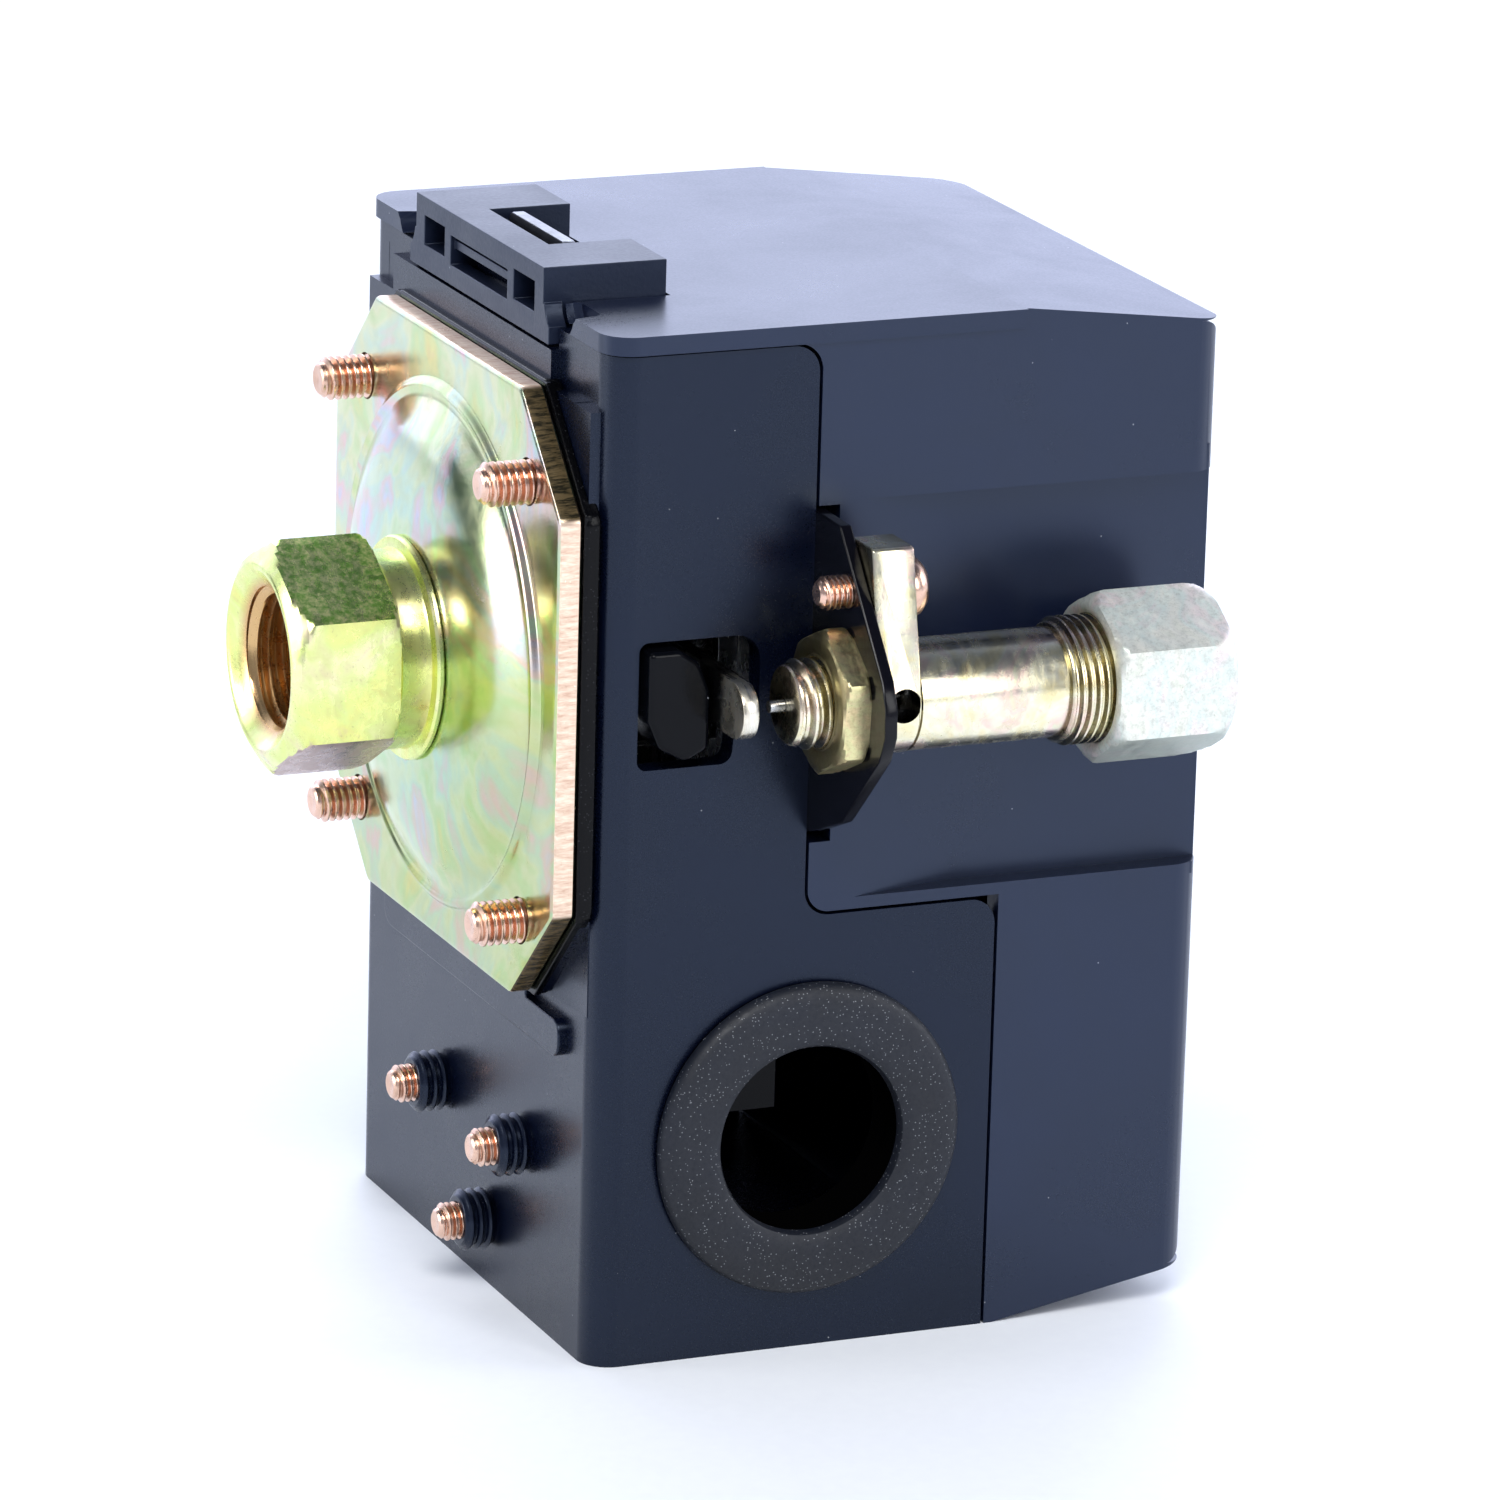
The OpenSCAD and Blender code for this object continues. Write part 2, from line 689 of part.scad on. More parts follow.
module valve_bracket() {
    color(black) difference() {
        translate([part_x, 0, 0]) rotate([90, 0, 90]) linear_extrude(bracket_t) difference() {
            polygon([
                [-25, 18], [-34.4, 17.8], [-44.4, 6.4], [-45.4, 4.2], [-45.5, 1.6], [-44.4, -0.8],
                [-36.6, -8.4], [-31, -10.8], [-27.5, -11.9], [-25, -11.9]
            ]);
        }
        bar_x(4, part_x - 1, part_x + 3, valve_y, valve_z);
        bar_x(1.5, part_x - 1, part_x + 3, valve_y, ear_z);
    }
}

module valve_body() {
    ear_big = 5.6;
    ear_small = 4;
    color(zinc) difference() {
        union() {
            bar_x(4, 35.6, bracket_back_x, valve_y, valve_z);
            bar_x(valve_d / 2, bracket_back_x, valve_thread_x, valve_y, valve_z);
            bar_x(5.75, valve_thread_x, 68.4, valve_y, valve_z);
            // Ear that the screw holds to the bracket
            translate([bracket_back_x, 0, 0]) rotate([90, 0, 90]) linear_extrude(ear_t) union() {
                translate([valve_y, valve_z]) circle(r = ear_big);
                translate([valve_y, ear_z]) circle(r = ear_small);
                polygon([
                    [valve_y - ear_big + 0.08, valve_z + 0.9], [valve_y + ear_big - 0.08, valve_z + 0.9],
                    [valve_y + ear_small - 0.06, ear_z + 0.6], [valve_y - ear_small + 0.06, ear_z + 0.6]
                ]);
            }
        }
        // Pin guide, spring chamber and tube socket
        bar_x(0.65, 34, 46.5, valve_y, valve_z);
        bar_x(2.4, 46, 56, valve_y, valve_z);
        bar_x(1.2, 55, 66, valve_y, valve_z);
        bar_x(tube_r, 63, 70, valve_y, valve_z);
        bar_x(1.5, bracket_back_x - 1, ear_back_x + 1, valve_y, ear_z);
        // Bleed hole into the pin guide
        bar_y(1.65, valve_y - 8, valve_y, 44.3, valve_z);
    }
}

module valve_ear_screw() {
    color(copper) screw_x(2.8, 1.9, 1.5, ear_back_x, part_x - 2.9, valve_y, ear_z);
}

module valve_lock_nut() {
    color(zinc) difference() {
        intersection() {
            hex_x(11.8, part_x - 2.4, part_x, valve_y, valve_z, 65);
            turned([
                [0, part_x - 2.4], [5.7, part_x - 2.4], [7, part_x - 1.7], [7, part_x - 0.3],
                [6.6, part_x], [0, part_x]
            ], valve_y, valve_z);
        }
        bar_x(4, part_x - 3, part_x + 1, valve_y, valve_z);
    }
}

module valve_pin() {
    color(steel) union() {
        bar_x(0.55, 33.7, 48, valve_y, valve_z);
        bar_x(1.9, 47, 48.2, valve_y, valve_z);
    }
}

module valve_seal() {
    color(rubber) difference() {
        bar_x(2.4, 46, 46.9, valve_y, valve_z);
        bar_x(0.65, 45, 48, valve_y, valve_z);
    }
}

module valve_spring() {
    color(steel) translate([0, valve_y, valve_z]) coil(1.6, 0.4, 48.2, 56, 5, 12, 6);
}

module tube_ferrule() {
    color(brass) difference() {
        turned([[0, 68.5], [4, 68.5], [4.6, 69.6], [4, 71], [0, 71]], valve_y, valve_z);
        bar_x(tube_r, 68, 72, valve_y, valve_z);
    }
}

module compression_nut() {
    big = tube_nut_af / 2 / cos(30) + 0.2;
    color(steel) difference() {
        intersection() {
            hex_x(tube_nut_af, nut_x, nut_end_x, valve_y, valve_z);
            turned([
                [0, nut_x], [6.9, nut_x], [big, nut_x + 1.1], [big, nut_end_x - 2.6],
                [big - 0.7, nut_end_x - 1.3], [6.5, nut_end_x], [0, nut_end_x]
            ], valve_y, valve_z);
        }
        bar_x(5.75, nut_x - 1, 71, valve_y, valve_z);
        bar_x(tube_r, 70, nut_end_x + 1, valve_y, valve_z);
    }
}

base_housing();
top_cover();
lever_guard();
cover_screws();
flange_plate();
port_fitting();
diaphragm();
flange_screws();
main_frame();
frame_top_bar();
contact_block();
block_screws();
fixed_contacts();
fixed_contact_tips();
terminal_clamps();
terminal_screws();
ground_screws();
grommet_front();
grommet_rear();
piston();
rocker_lever();
rocker_end_cap();
pivot_pin();
contact_carrier();
contact_bridges();
contact_bridge_tips();
contact_springs();
range_spring();
range_screw();
range_seat();
differential_spring();
differential_screw();
differential_seat();
off_lever();
off_lever_pin();
valve_bracket();
valve_body();
valve_ear_screw();
valve_lock_nut();
valve_pin();
valve_seal();
valve_spring();
tube_ferrule();
compression_nut();
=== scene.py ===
import json
import math

import bmesh
import bpy
from mathutils import Matrix, Vector

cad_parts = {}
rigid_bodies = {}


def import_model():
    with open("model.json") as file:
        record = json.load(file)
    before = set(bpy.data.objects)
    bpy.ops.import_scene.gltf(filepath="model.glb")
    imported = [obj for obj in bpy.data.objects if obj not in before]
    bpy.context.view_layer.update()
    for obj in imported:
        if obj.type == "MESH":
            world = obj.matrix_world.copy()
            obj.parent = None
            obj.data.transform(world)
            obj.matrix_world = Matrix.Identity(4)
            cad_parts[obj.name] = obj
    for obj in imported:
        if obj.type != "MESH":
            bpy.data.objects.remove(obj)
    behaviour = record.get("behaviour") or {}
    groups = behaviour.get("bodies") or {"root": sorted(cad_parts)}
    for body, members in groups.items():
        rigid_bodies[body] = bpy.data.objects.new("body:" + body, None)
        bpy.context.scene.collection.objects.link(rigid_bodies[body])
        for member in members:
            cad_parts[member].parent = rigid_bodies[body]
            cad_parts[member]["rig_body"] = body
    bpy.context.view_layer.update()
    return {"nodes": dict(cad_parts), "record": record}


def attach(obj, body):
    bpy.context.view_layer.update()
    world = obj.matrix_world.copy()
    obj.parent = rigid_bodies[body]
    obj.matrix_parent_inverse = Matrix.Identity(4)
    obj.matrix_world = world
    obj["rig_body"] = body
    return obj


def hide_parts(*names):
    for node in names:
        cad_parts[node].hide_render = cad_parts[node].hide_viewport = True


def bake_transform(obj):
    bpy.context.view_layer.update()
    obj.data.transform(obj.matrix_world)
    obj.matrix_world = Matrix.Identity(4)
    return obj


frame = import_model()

MM = 0.001
MERGE = 1e-6  # metres between points that are one
FLAT_ANGLE = math.radians(0.6)  # faces that meet at less than this are one face
THREAD_STEPS = 8
NEAR_AXIS = 0.01  # the smallest radius of a turned tool
scene = bpy.context.scene
NODE_SLOT = {p["node"]: p["material_slot"] for p in frame["record"]["subparts"]}


# ---------------------------------------------------------------- mesh helpers

def new_object(name, mesh):
    piece = bpy.data.objects.new(name, mesh)
    scene.collection.objects.link(piece)
    return piece


def clean(mesh, merge=2e-6):
    """Merges double points, drops faces without area, fills open rings and turns the faces outwards."""
    bm = bmesh.new()
    bm.from_mesh(mesh)
    bmesh.ops.remove_doubles(bm, verts=bm.verts, dist=merge)
    bmesh.ops.dissolve_degenerate(bm, edges=bm.edges, dist=merge)
    loose = [v for v in bm.verts if not v.link_faces]
    bmesh.ops.delete(bm, geom=loose, context="VERTS")
    rims = [e for e in bm.edges if e.is_boundary]
    if rims:
        bmesh.ops.holes_fill(bm, edges=rims, sides=0)
    bmesh.ops.recalc_face_normals(bm, faces=bm.faces)
    bm.to_mesh(mesh)
    bm.free()
    mesh.update()


def mesh_of(name, points, faces):
    """A mesh from points in millimetres."""
    mesh = bpy.data.meshes.new(name)
    mesh.from_pydata([Vector(p) * MM for p in points], [], faces)
    clean(mesh)
    return mesh


def smooth(piece, angle=32):
    piece.data.shade_smooth()
    piece.data.set_sharp_from_angle(angle=math.radians(angle))


def applied(piece, modifier_type, **values):
    """Adds a modifier, sets its values and applies it."""
    modifier = piece.modifiers.new(modifier_type.lower(), modifier_type)
    for key, value in values.items():
        setattr(modifier, key, value)
    bpy.context.view_layer.update()
    graph = bpy.context.evaluated_depsgraph_get()
    result = bpy.data.meshes.new_from_object(piece.evaluated_get(graph))
    piece.modifiers.clear()
    old = piece.data
    piece.data = result
    bpy.data.meshes.remove(old)
    return piece


def rounded(piece, width, segments=2, angle=30):
    return applied(piece, "BEVEL", width=width * MM, segments=segments, limit_method="ANGLE",
                   angle_limit=math.radians(angle), use_clamp_overlap=True, loop_slide=True)


def cut(piece, tool, operation="DIFFERENCE"):
    applied(piece, "BOOLEAN", object=tool, operation=operation, solver="EXACT")
    bpy.data.objects.remove(tool)
    return piece


def joined(pieces, name):
    """One object from several, in the order given."""
    bm = bmesh.new()
    for p in pieces:
        bm.from_mesh(p.data)
    mesh = bpy.data.meshes.new(name)
    bm.to_mesh(mesh)
    bm.free()
    for p in pieces:
        bpy.data.objects.remove(p)
    return new_object(name, mesh)


def sweep_rings(rings, seam_step=0):
    """Points and quads through equal rings. A quad at the seam moves on by seam_step rings, as a thread does."""
    n = len(rings[0])
    points = [p for ring in rings for p in ring]
    faces = []
    for i in range(len(rings) - 1):
        for k in range(n):
            if k < n - 1:
                faces.append((i * n + k, i * n + k + 1, (i + 1) * n + k + 1, (i + 1) * n + k))
            elif i + 1 + seam_step < len(rings):
                faces.append((i * n + k, (i + seam_step) * n, (i + 1 + seam_step) * n, (i + 1) * n + k))
    return points, faces


def thread_rings(place, angles, start, end, crest, root, pitch):
    """Rings of a thread that fades in and out at its ends. There are THREAD_STEPS rings to a pitch."""
    length, way = abs(end - start), 1 if end > start else -1
    fade = pitch * 0.7
    count = math.ceil(length / pitch * THREAD_STEPS) + THREAD_STEPS
    rings = []
    for i in range(-THREAD_STEPS, count + THREAD_STEPS + 1):
        wave = 0.5 - 0.5 * math.cos(2 * math.pi * ((i / THREAD_STEPS) % 1))
        wave = min(1, max(0, (wave - 0.12) * 1.3))
        ring = []
        for k, t in enumerate(angles):
            along = min(max(pitch * (i / THREAD_STEPS + k / len(angles)), 0), length)
            edge = min(1, along / fade, (length - along) / fade)
            ring.append(place(start + way * along, root + (crest - root) * wave * edge, t))
        rings.append(ring)
    return rings


def turned(name, parts, centre=(0, 0), axis="x", n=72):
    """A turned body. parts holds (along, radius) points, and dicts for what isn't plain:
    {"hex": across flats, "turn": degrees, "points": [(along, chamfer radius), ...]} or
    {"thread": (start, end, crest radius, root radius, pitch)}. centre is the axis' place in the other two directions.
    """
    def place(a, r, t):
        u, v = centre[0] + r * math.cos(t), centre[1] + r * math.sin(t)
        return (a, u, v) if axis == "x" else (u, a, v)

    angles = [2 * math.pi * k / n for k in range(n)]
    points, faces, last = [], [], None

    def add(rings, seam_step=0):
        nonlocal last
        stretches = [([last, rings[0]], 0)] if last is not None else []
        if len(rings) > 1:
            stretches.append((rings, seam_step))
        for stretch, step in stretches:
            new_points, new_faces = sweep_rings(stretch, step)
            first = len(points)
            points.extend(new_points)
            faces.extend(tuple(i + first for i in face) for face in new_faces)
        last = rings[-1]

    for part in parts:
        if isinstance(part, tuple):
            add([[place(*part, t) for t in angles]])
        elif "hex" in part:
            half, turn = part["hex"] / 2, math.radians(part["turn"])
            for a, chamfer in part["points"]:
                from_flat = [(t - turn + math.pi / 6) % (math.pi / 3) - math.pi / 6 for t in angles]
                add([[place(a, min(half / math.cos(d), chamfer), t) for d, t in zip(from_flat, angles)]])
        else:
            add(thread_rings(place, angles, *part["thread"]), seam_step=THREAD_STEPS)
    piece = new_object(name, mesh_of(name, points, faces))
    smooth(piece)
    return piece


def pin(radius, lo, hi, centre=(0, 0), axis="x", n=32):
    """A plain cylinder to cut a hole with."""
    return turned("tool", [(lo, NEAR_AXIS), (lo, radius), (hi, radius), (hi, NEAR_AXIS)], centre, axis, n)


def slab(name, outline, lo, hi, axis="x"):
    """A plate from an outline of (u, v) points, from lo to hi along the axis."""
    def place(a, u, v):
        return {"x": (a, u, v), "y": (u, a, v), "z": (u, v, a)}[axis]
    n = len(outline)
    points = [place(lo, u, v) for u, v in outline] + [place(hi, u, v) for u, v in outline]
    faces = [tuple(range(n)), tuple(range(2 * n - 1, n - 1, -1))]
    faces += [(k, (k + 1) % n, n + (k + 1) % n, n + k) for k in range(n)]
    return new_object(name, mesh_of(name, points, faces))


def brick(name, x, y, z):
    return slab(name, [(x[0], y[0]), (x[1], y[0]), (x[1], y[1]), (x[0], y[1])], z[0], z[1], axis="z")


def arc(cx, cy, r, a0, a1, n):
    """Points round a centre from angle a0 to a1, in degrees."""
    return [(cx + r * math.cos(math.radians(a0 + (a1 - a0) * k / n)),
             cy + r * math.sin(math.radians(a0 + (a1 - a0) * k / n))) for k in range(n + 1)]


def filleted(outline, r, n=5):
    """The outline with each corner rounded to radius r, or to the radius given third in a corner's tuple."""
    result, count = [], len(outline)
    for i, corner in enumerate(outline):
        p = Vector(corner[:2])
        radius = corner[2] if len(corner) > 2 else r
        a = Vector(outline[i - 1][:2]) - p
        b = Vector(outline[(i + 1) % count][:2]) - p
        turn = a.angle(b)
        back = min(radius / math.tan(turn / 2), a.length * 0.49, b.length * 0.49)
        radius = back * math.tan(turn / 2)
        a.normalize()
        b.normalize()
        centre = p + (a + b).normalized() * (radius / math.sin(turn / 2))
        first, last = p + a * back - centre, p + b * back - centre
        side = math.atan2(first.x * last.y - first.y * last.x, first.dot(last))
        start = math.atan2(first.y, first.x)
        for k in range(n + 1):
            t = start + side * k / n
            result.append((centre.x + radius * math.cos(t), centre.y + radius * math.sin(t)))
    return result


def finished(piece, body, material, *nodes, slot=None, angle=32, level=False):
    """Puts a piece on its body with its material, in place of CAD nodes. level keeps large faces flat."""
    smooth(piece, angle)
    if level:
        applied(piece, "WEIGHTED_NORMAL", keep_sharp=True, weight=90, mode="FACE_AREA")
    piece.data.materials.clear()
    piece.data.materials.append(material)
    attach(piece, body)
    if nodes:
        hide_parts(*nodes)
    slot or NODE_SLOT[nodes[0]]
    return piece


def whole(mesh):
    """Joins double points, and flat faces that triangles or booleans have split."""
    bm = bmesh.new()
    bm.from_mesh(mesh)
    bmesh.ops.remove_doubles(bm, verts=bm.verts, dist=MERGE)
    bmesh.ops.dissolve_limit(bm, angle_limit=FLAT_ANGLE, verts=bm.verts, edges=bm.edges)
    for face in bm.faces:
        face.smooth = True
    bm.to_mesh(mesh)
    bm.free()


def copy_of(node, name):
    """A new object with the CAD node's shape, its flat faces whole again."""
    mesh = frame["nodes"][node].data.copy()
    mesh.materials.clear()
    whole(mesh)
    return new_object(name, mesh)


def softened(node, name, material, width, segments=2, angle=35, change=None):
    """The CAD node's shape with its edges rounded, in its place. change edits the shape before that."""
    piece = copy_of(node, name)
    if change:
        change(piece)
        whole(piece.data)
    rounded(piece, width, segments, angle)
    return finished(piece, frame["nodes"][node]["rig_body"], material, node, level=True)


# ---------------------------------------------------------------- places, in millimetres

PORT_HEX_BACK = 10.1  # far end of the port's hexagon
FACE_X = 21.2  # the base's mounting face
PAD_X = 20.3  # the low pad on it
PLATE_X, PLATE_BACK_X = 17.4, 19.6
FLOOR_X = 24.2  # inside of the base behind the mounting face
WALL = 2.4
SIDE_Y = 29.25  # the base's side faces, which the cable entries and the valve are on
PLATE = {"half": 27.7, "corner_cut": 9.8, "centre_z": 0.3}
FLANGE_SCREWS = [(y, z) for y in (-20, 20) for z in (-20, 20)]
BLOCK_SCREWS = [(7.4, -43.8), (-12.6, -43.5), (-4.6, -53.2)]
VALVE = (-36.45, 2.7)  # y and z of the valve's axis
EAR_SCREW = (VALVE[0], VALVE[1] + 9.8)
VENT, VENT_R = (44.5, VALVE[1] + 0.4), 1.5  # x and z of the hole in the valve's side
ENTRY = (41.6, -39.7)  # x and z of the cable entries

# ---------------------------------------------------------------- materials

MOULDED_IOR = 1.5
RUB_STRETCH = (1, 0.12, 0.12)  # rubs run along Y and Z


def colour_ramp(tree, value, stops):
    node = tree.nodes.new("ShaderNodeValToRGB")
    while len(node.color_ramp.elements) < len(stops):
        node.color_ramp.elements.new(1.0)
    for element, (position, colour) in zip(node.color_ramp.elements, stops):
        element.position, element.color = position, (*colour, 1)
    tree.links.new(value, node.inputs[0])
    return node.outputs[0]


class Shader:
    """A small wrapper that adds and links nodes of one material."""

    def __init__(self, name):
        self.material = bpy.data.materials.new(name)
        self.material.use_nodes = True
        self.tree = self.material.node_tree
        self.tree.nodes.clear()
        self.out = self.tree.nodes.new("ShaderNodeOutputMaterial")
        self.bsdf = self.tree.nodes.new("ShaderNodeBsdfPrincipled")
        self.tree.links.new(self.bsdf.outputs[0], self.out.inputs[0])
        coordinates = self.tree.nodes.new("ShaderNodeTexCoord")
        self.place = coordinates.outputs["Object"]
        self.ways = self.tree.nodes.new("ShaderNodeSeparateXYZ")
        self.link(coordinates.outputs["Normal"], self.ways.inputs[0])

    def link(self, a, b):
        self.tree.links.new(a, b)

    def feed(self, socket, value):
        """Sets a socket to a number or a colour, or links another node's output to it."""
        if isinstance(value, (int, float)):
            socket.default_value = value
        elif isinstance(value, tuple):
            socket.default_value = (*value, 1)
        else:
            self.link(value, socket)

    def noise(self, scale, detail=2.0, roughness=0.5, distortion=0.0, stretch=None):
        node = self.tree.nodes.new("ShaderNodeTexNoise")
        node.inputs["Scale"].default_value = scale
        node.inputs["Detail"].default_value = detail
        node.inputs["Roughness"].default_value = roughness
        node.inputs["Distortion"].default_value = distortion
        self.link(self.stretched(stretch), node.inputs["Vector"])
        return node.outputs["Fac"]

    def stretched(self, stretch, shift=(0, 0, 0)):
        if not stretch:
            return self.place
        node = self.tree.nodes.new("ShaderNodeMapping")
        node.inputs["Scale"].default_value = stretch
        node.inputs["Location"].default_value = shift
        self.link(self.place, node.inputs["Vector"])
        return node.outputs[0]

    def facing(self, axis, lo, hi):
        """0 to 1 as the surface's own direction along an axis goes from lo to hi."""
        return self.span(self.ways.outputs[axis], lo, hi, 0, 1)

    def level_along_x(self, limit):
        """1 where the surface turns from the X axis by so much that its direction has less than limit of it."""
        return self.math("LESS_THAN", self.math("ABSOLUTE", self.ways.outputs["X"], 0), limit)

    def reach(self, scale, shift=(0, 0, 0)):
        """Length of the place after scaling each direction and a shift, such as the distance from the port's axis."""
        node = self.tree.nodes.new("ShaderNodeVectorMath")
        node.operation = "LENGTH"
        self.link(self.stretched(scale, shift), node.inputs[0])
        return node.outputs["Value"]

    def cells(self, scale):
        """Distance from the nearest of many scattered points."""
        node = self.tree.nodes.new("ShaderNodeTexVoronoi")
        node.inputs["Scale"].default_value = scale
        self.link(self.place, node.inputs["Vector"])
        return node.outputs["Distance"]

    def ramp(self, value, stops):
        return colour_ramp(self.tree, value, stops)

    def span(self, value, lo, hi, to_lo, to_hi):
        node = self.tree.nodes.new("ShaderNodeMapRange")
        for key, number in zip(("From Min", "From Max", "To Min", "To Max"), (lo, hi, to_lo, to_hi)):
            node.inputs[key].default_value = number
        self.link(value, node.inputs["Value"])
        return node.outputs[0]

    def math(self, operation, a, b):
        node = self.tree.nodes.new("ShaderNodeMath")
        node.operation = operation
        self.feed(node.inputs[0], a)
        self.feed(node.inputs[1], b)
        return node.outputs[0]

    def product(self, a, b):
        return self.math("MULTIPLY", a, b)

    def mix(self, factor, a, b, blend="MIX"):
        node = self.tree.nodes.new("ShaderNodeMix")
        node.data_type = "RGBA"
        node.blend_type = blend
        for socket, value in zip((node.inputs["Factor"], node.inputs[6], node.inputs[7]), (factor, a, b)):
            self.feed(socket, value)
        return node.outputs[2]

    def multiplied(self, colour, by):
        return self.mix(1.0, colour, by, "MULTIPLY")

    def bump(self, height, strength, distance, below=None):
        node = self.tree.nodes.new("ShaderNodeBump")
        node.inputs["Strength"].default_value = strength
        node.inputs["Distance"].default_value = distance
        self.link(height, node.inputs["Height"])
        if below:
            self.link(below, node.inputs["Normal"])
        return node.outputs[0]

    def done(self, colour, roughness, normal=None, metallic=0.0, ior=None, shine=None, sheen=None):
        """Feeds the shader. shine is its specular level and sheen is the tint of that."""
        values = {"Base Color": colour, "Roughness": roughness, "Normal": normal, "Metallic": metallic, "IOR": ior,
                  "Specular IOR Level": shine, "Specular Tint": sheen}
        for name, value in values.items():
            if value is not None:
                self.feed(self.bsdf.inputs[name], value)
        return self.material


def scaled(colour, by):
    return tuple(c * by for c in colour)


def plastic(name, colour, rough=(0.3, 0.42), grain=4200, depth=0.000012, dust=0.5, shine=0.5, sheen=(1, 1, 1)):
    """Satin moulded plastic with a fine grain, faint flow marks and dust."""
    s = Shader(name)
    cloud = s.noise(55, 4, 0.6, 0.4)
    fine = s.noise(grain, 2, 0.6)
    base = s.mix(s.span(cloud, 0.3, 0.7, 0, 1), scaled(colour, 0.8), scaled(colour, 1.25))
    speck = s.product(s.math("LESS_THAN", s.cells(520), 0.036), s.math("GREATER_THAN", s.noise(700, 1), 0.57))
    base = s.mix(s.product(speck, dust), base, (0.5, 0.52, 0.55))
    roughness = s.math("ADD", s.span(cloud, 0.3, 0.7, *rough), s.span(fine, 0.3, 0.7, -0.03, 0.03))
    normal = s.bump(fine, 0.5, depth, s.bump(cloud, 0.12, 0.00006))
    return s.done(base, roughness, normal, ior=MOULDED_IOR, shine=shine, sheen=sheen)


def zinc(name, stops, rough=(0.16, 0.3), patch=85, pits=0.35, zones=None, stain_tone=(0.62, 0.55, 0.26), metallic=1.0):
    """Chromated zinc: thin-film tints that drift over the surface, on metal with fine pits and rubs.

    zones(shader, tint, metallic) gives the tint and the metal share of the places that differ.
    """
    s = Shader(name)
    tint = s.ramp(s.span(s.noise(patch, 3, 0.55, 1.6), 0.22, 0.78, 0, 1), stops)
    stain = s.noise(patch * 5.5, 4, 0.65, 0.6)
    tint = s.mix(s.span(stain, 0.4, 0.75, 0, 0.4), tint, stain_tone)
    if zones:
        tint, metallic = zones(s, tint, metallic)
    pit = s.noise(3100, 3, 0.7)
    tint = s.mix(s.span(pit, 0.62, 0.78, 0, pits), tint, (0.2, 0.17, 0.08))
    rub = s.noise(900, 3, 0.6, 0, (1, 0.16, 0.16))
    roughness = s.math("ADD", s.span(stain, 0.3, 0.7, *rough), s.span(rub, 0.3, 0.7, -0.05, 0.07))
    return s.done(tint, roughness, s.bump(pit, 0.25, 0.00002, s.bump(stain, 0.18, 0.00005)), metallic)


def metal(name, colour, dark, rough=(0.2, 0.34), pits=0.3):
    """Plain or plated metal with rubs along one direction, stains and pits."""
    s = Shader(name)
    stain = s.noise(320, 4, 0.62, 0.5)
    rub = s.noise(2200, 3, 0.6, 0, RUB_STRETCH)
    pit = s.noise(2800, 2, 0.7)
    base = s.mix(s.span(stain, 0.42, 0.75, 0, 0.7), colour, dark)
    base = s.mix(s.span(pit, 0.64, 0.78, 0, pits), base, scaled(dark, 0.35))
    roughness = s.math("ADD", s.span(stain, 0.3, 0.7, *rough), s.span(rub, 0.3, 0.7, -0.06, 0.06))
    return s.done(base, roughness, s.bump(rub, 0.2, 0.000015, s.bump(pit, 0.15, 0.00002)), metallic=1.0)


def shaded_steel_pale_tip(name, pale_from_y):
    """Zinc painted dark as the shade in the rocker's pocket, and pale beyond the y given in millimetres, where the
    rocker's arm meets the valve pin.
    """
    s = Shader(name)
    stain = s.noise(320, 4, 0.62, 0.5)
    rub = s.noise(2200, 3, 0.6, 0, RUB_STRETCH)
    blotch = s.span(stain, 0.4, 0.7, 0, 1)
    # Painted shade: this dark stands in for the shade in the pocket
    dark = s.mix(blotch, (0.10, 0.10, 0.10), (0.05, 0.05, 0.055))
    bright = s.mix(blotch, (0.92, 0.88, 0.76), (0.70, 0.62, 0.46))
    ragged = s.math("ADD", s.reach((0, 1, 0)), s.span(stain, 0, 1, -0.0012, 0.0012))
    pale_share = s.span(ragged, pale_from_y * MM, (pale_from_y + 1.2) * MM, 0, 1)
    return s.done(s.mix(pale_share, dark, bright), s.span(rub, 0.3, 0.7, 0.2, 0.36), s.bump(rub, 0.2, 0.000015), metallic=1.0)


def rubber(name, colour, rough=(0.55, 0.8), speckle=0.5, shine=0.5, bore_y=None):
    """Moulded rubber with chalky specks. Nearer than bore_y to the middle plane, its bore is painted shade: dark, dull
    and with little shine.
    """
    s = Shader(name)
    cloud = s.noise(110, 4, 0.6)
    fine = s.noise(2600, 3, 0.7)
    base = s.mix(s.span(cloud, 0.3, 0.7, 0, 1), scaled(colour, 0.75), scaled(colour, 1.3))
    chalk = s.product(s.math("LESS_THAN", s.cells(3000), 0.17), s.math("GREATER_THAN", s.noise(420, 2), 0.42))
    base = s.mix(s.product(chalk, speckle), base, (0.22, 0.23, 0.25))
    roughness = s.span(fine, 0.3, 0.7, *rough)
    if bore_y:
        # Painted shade inside the bore: near-black colour, high roughness, low shine
        bore_shade = s.math("LESS_THAN", s.reach((0, 1, 0)), bore_y * MM)
        base = s.mix(bore_shade, base, (0.0005, 0.0005, 0.0006))
        roughness = s.math("MAXIMUM", roughness, s.product(bore_shade, 0.95))
        shine = s.math("SUBTRACT", shine, s.product(bore_shade, 0.48))
    return s.done(base, roughness, s.bump(fine, 0.5, 0.00004), ior=MOULDED_IOR, shine=shine)


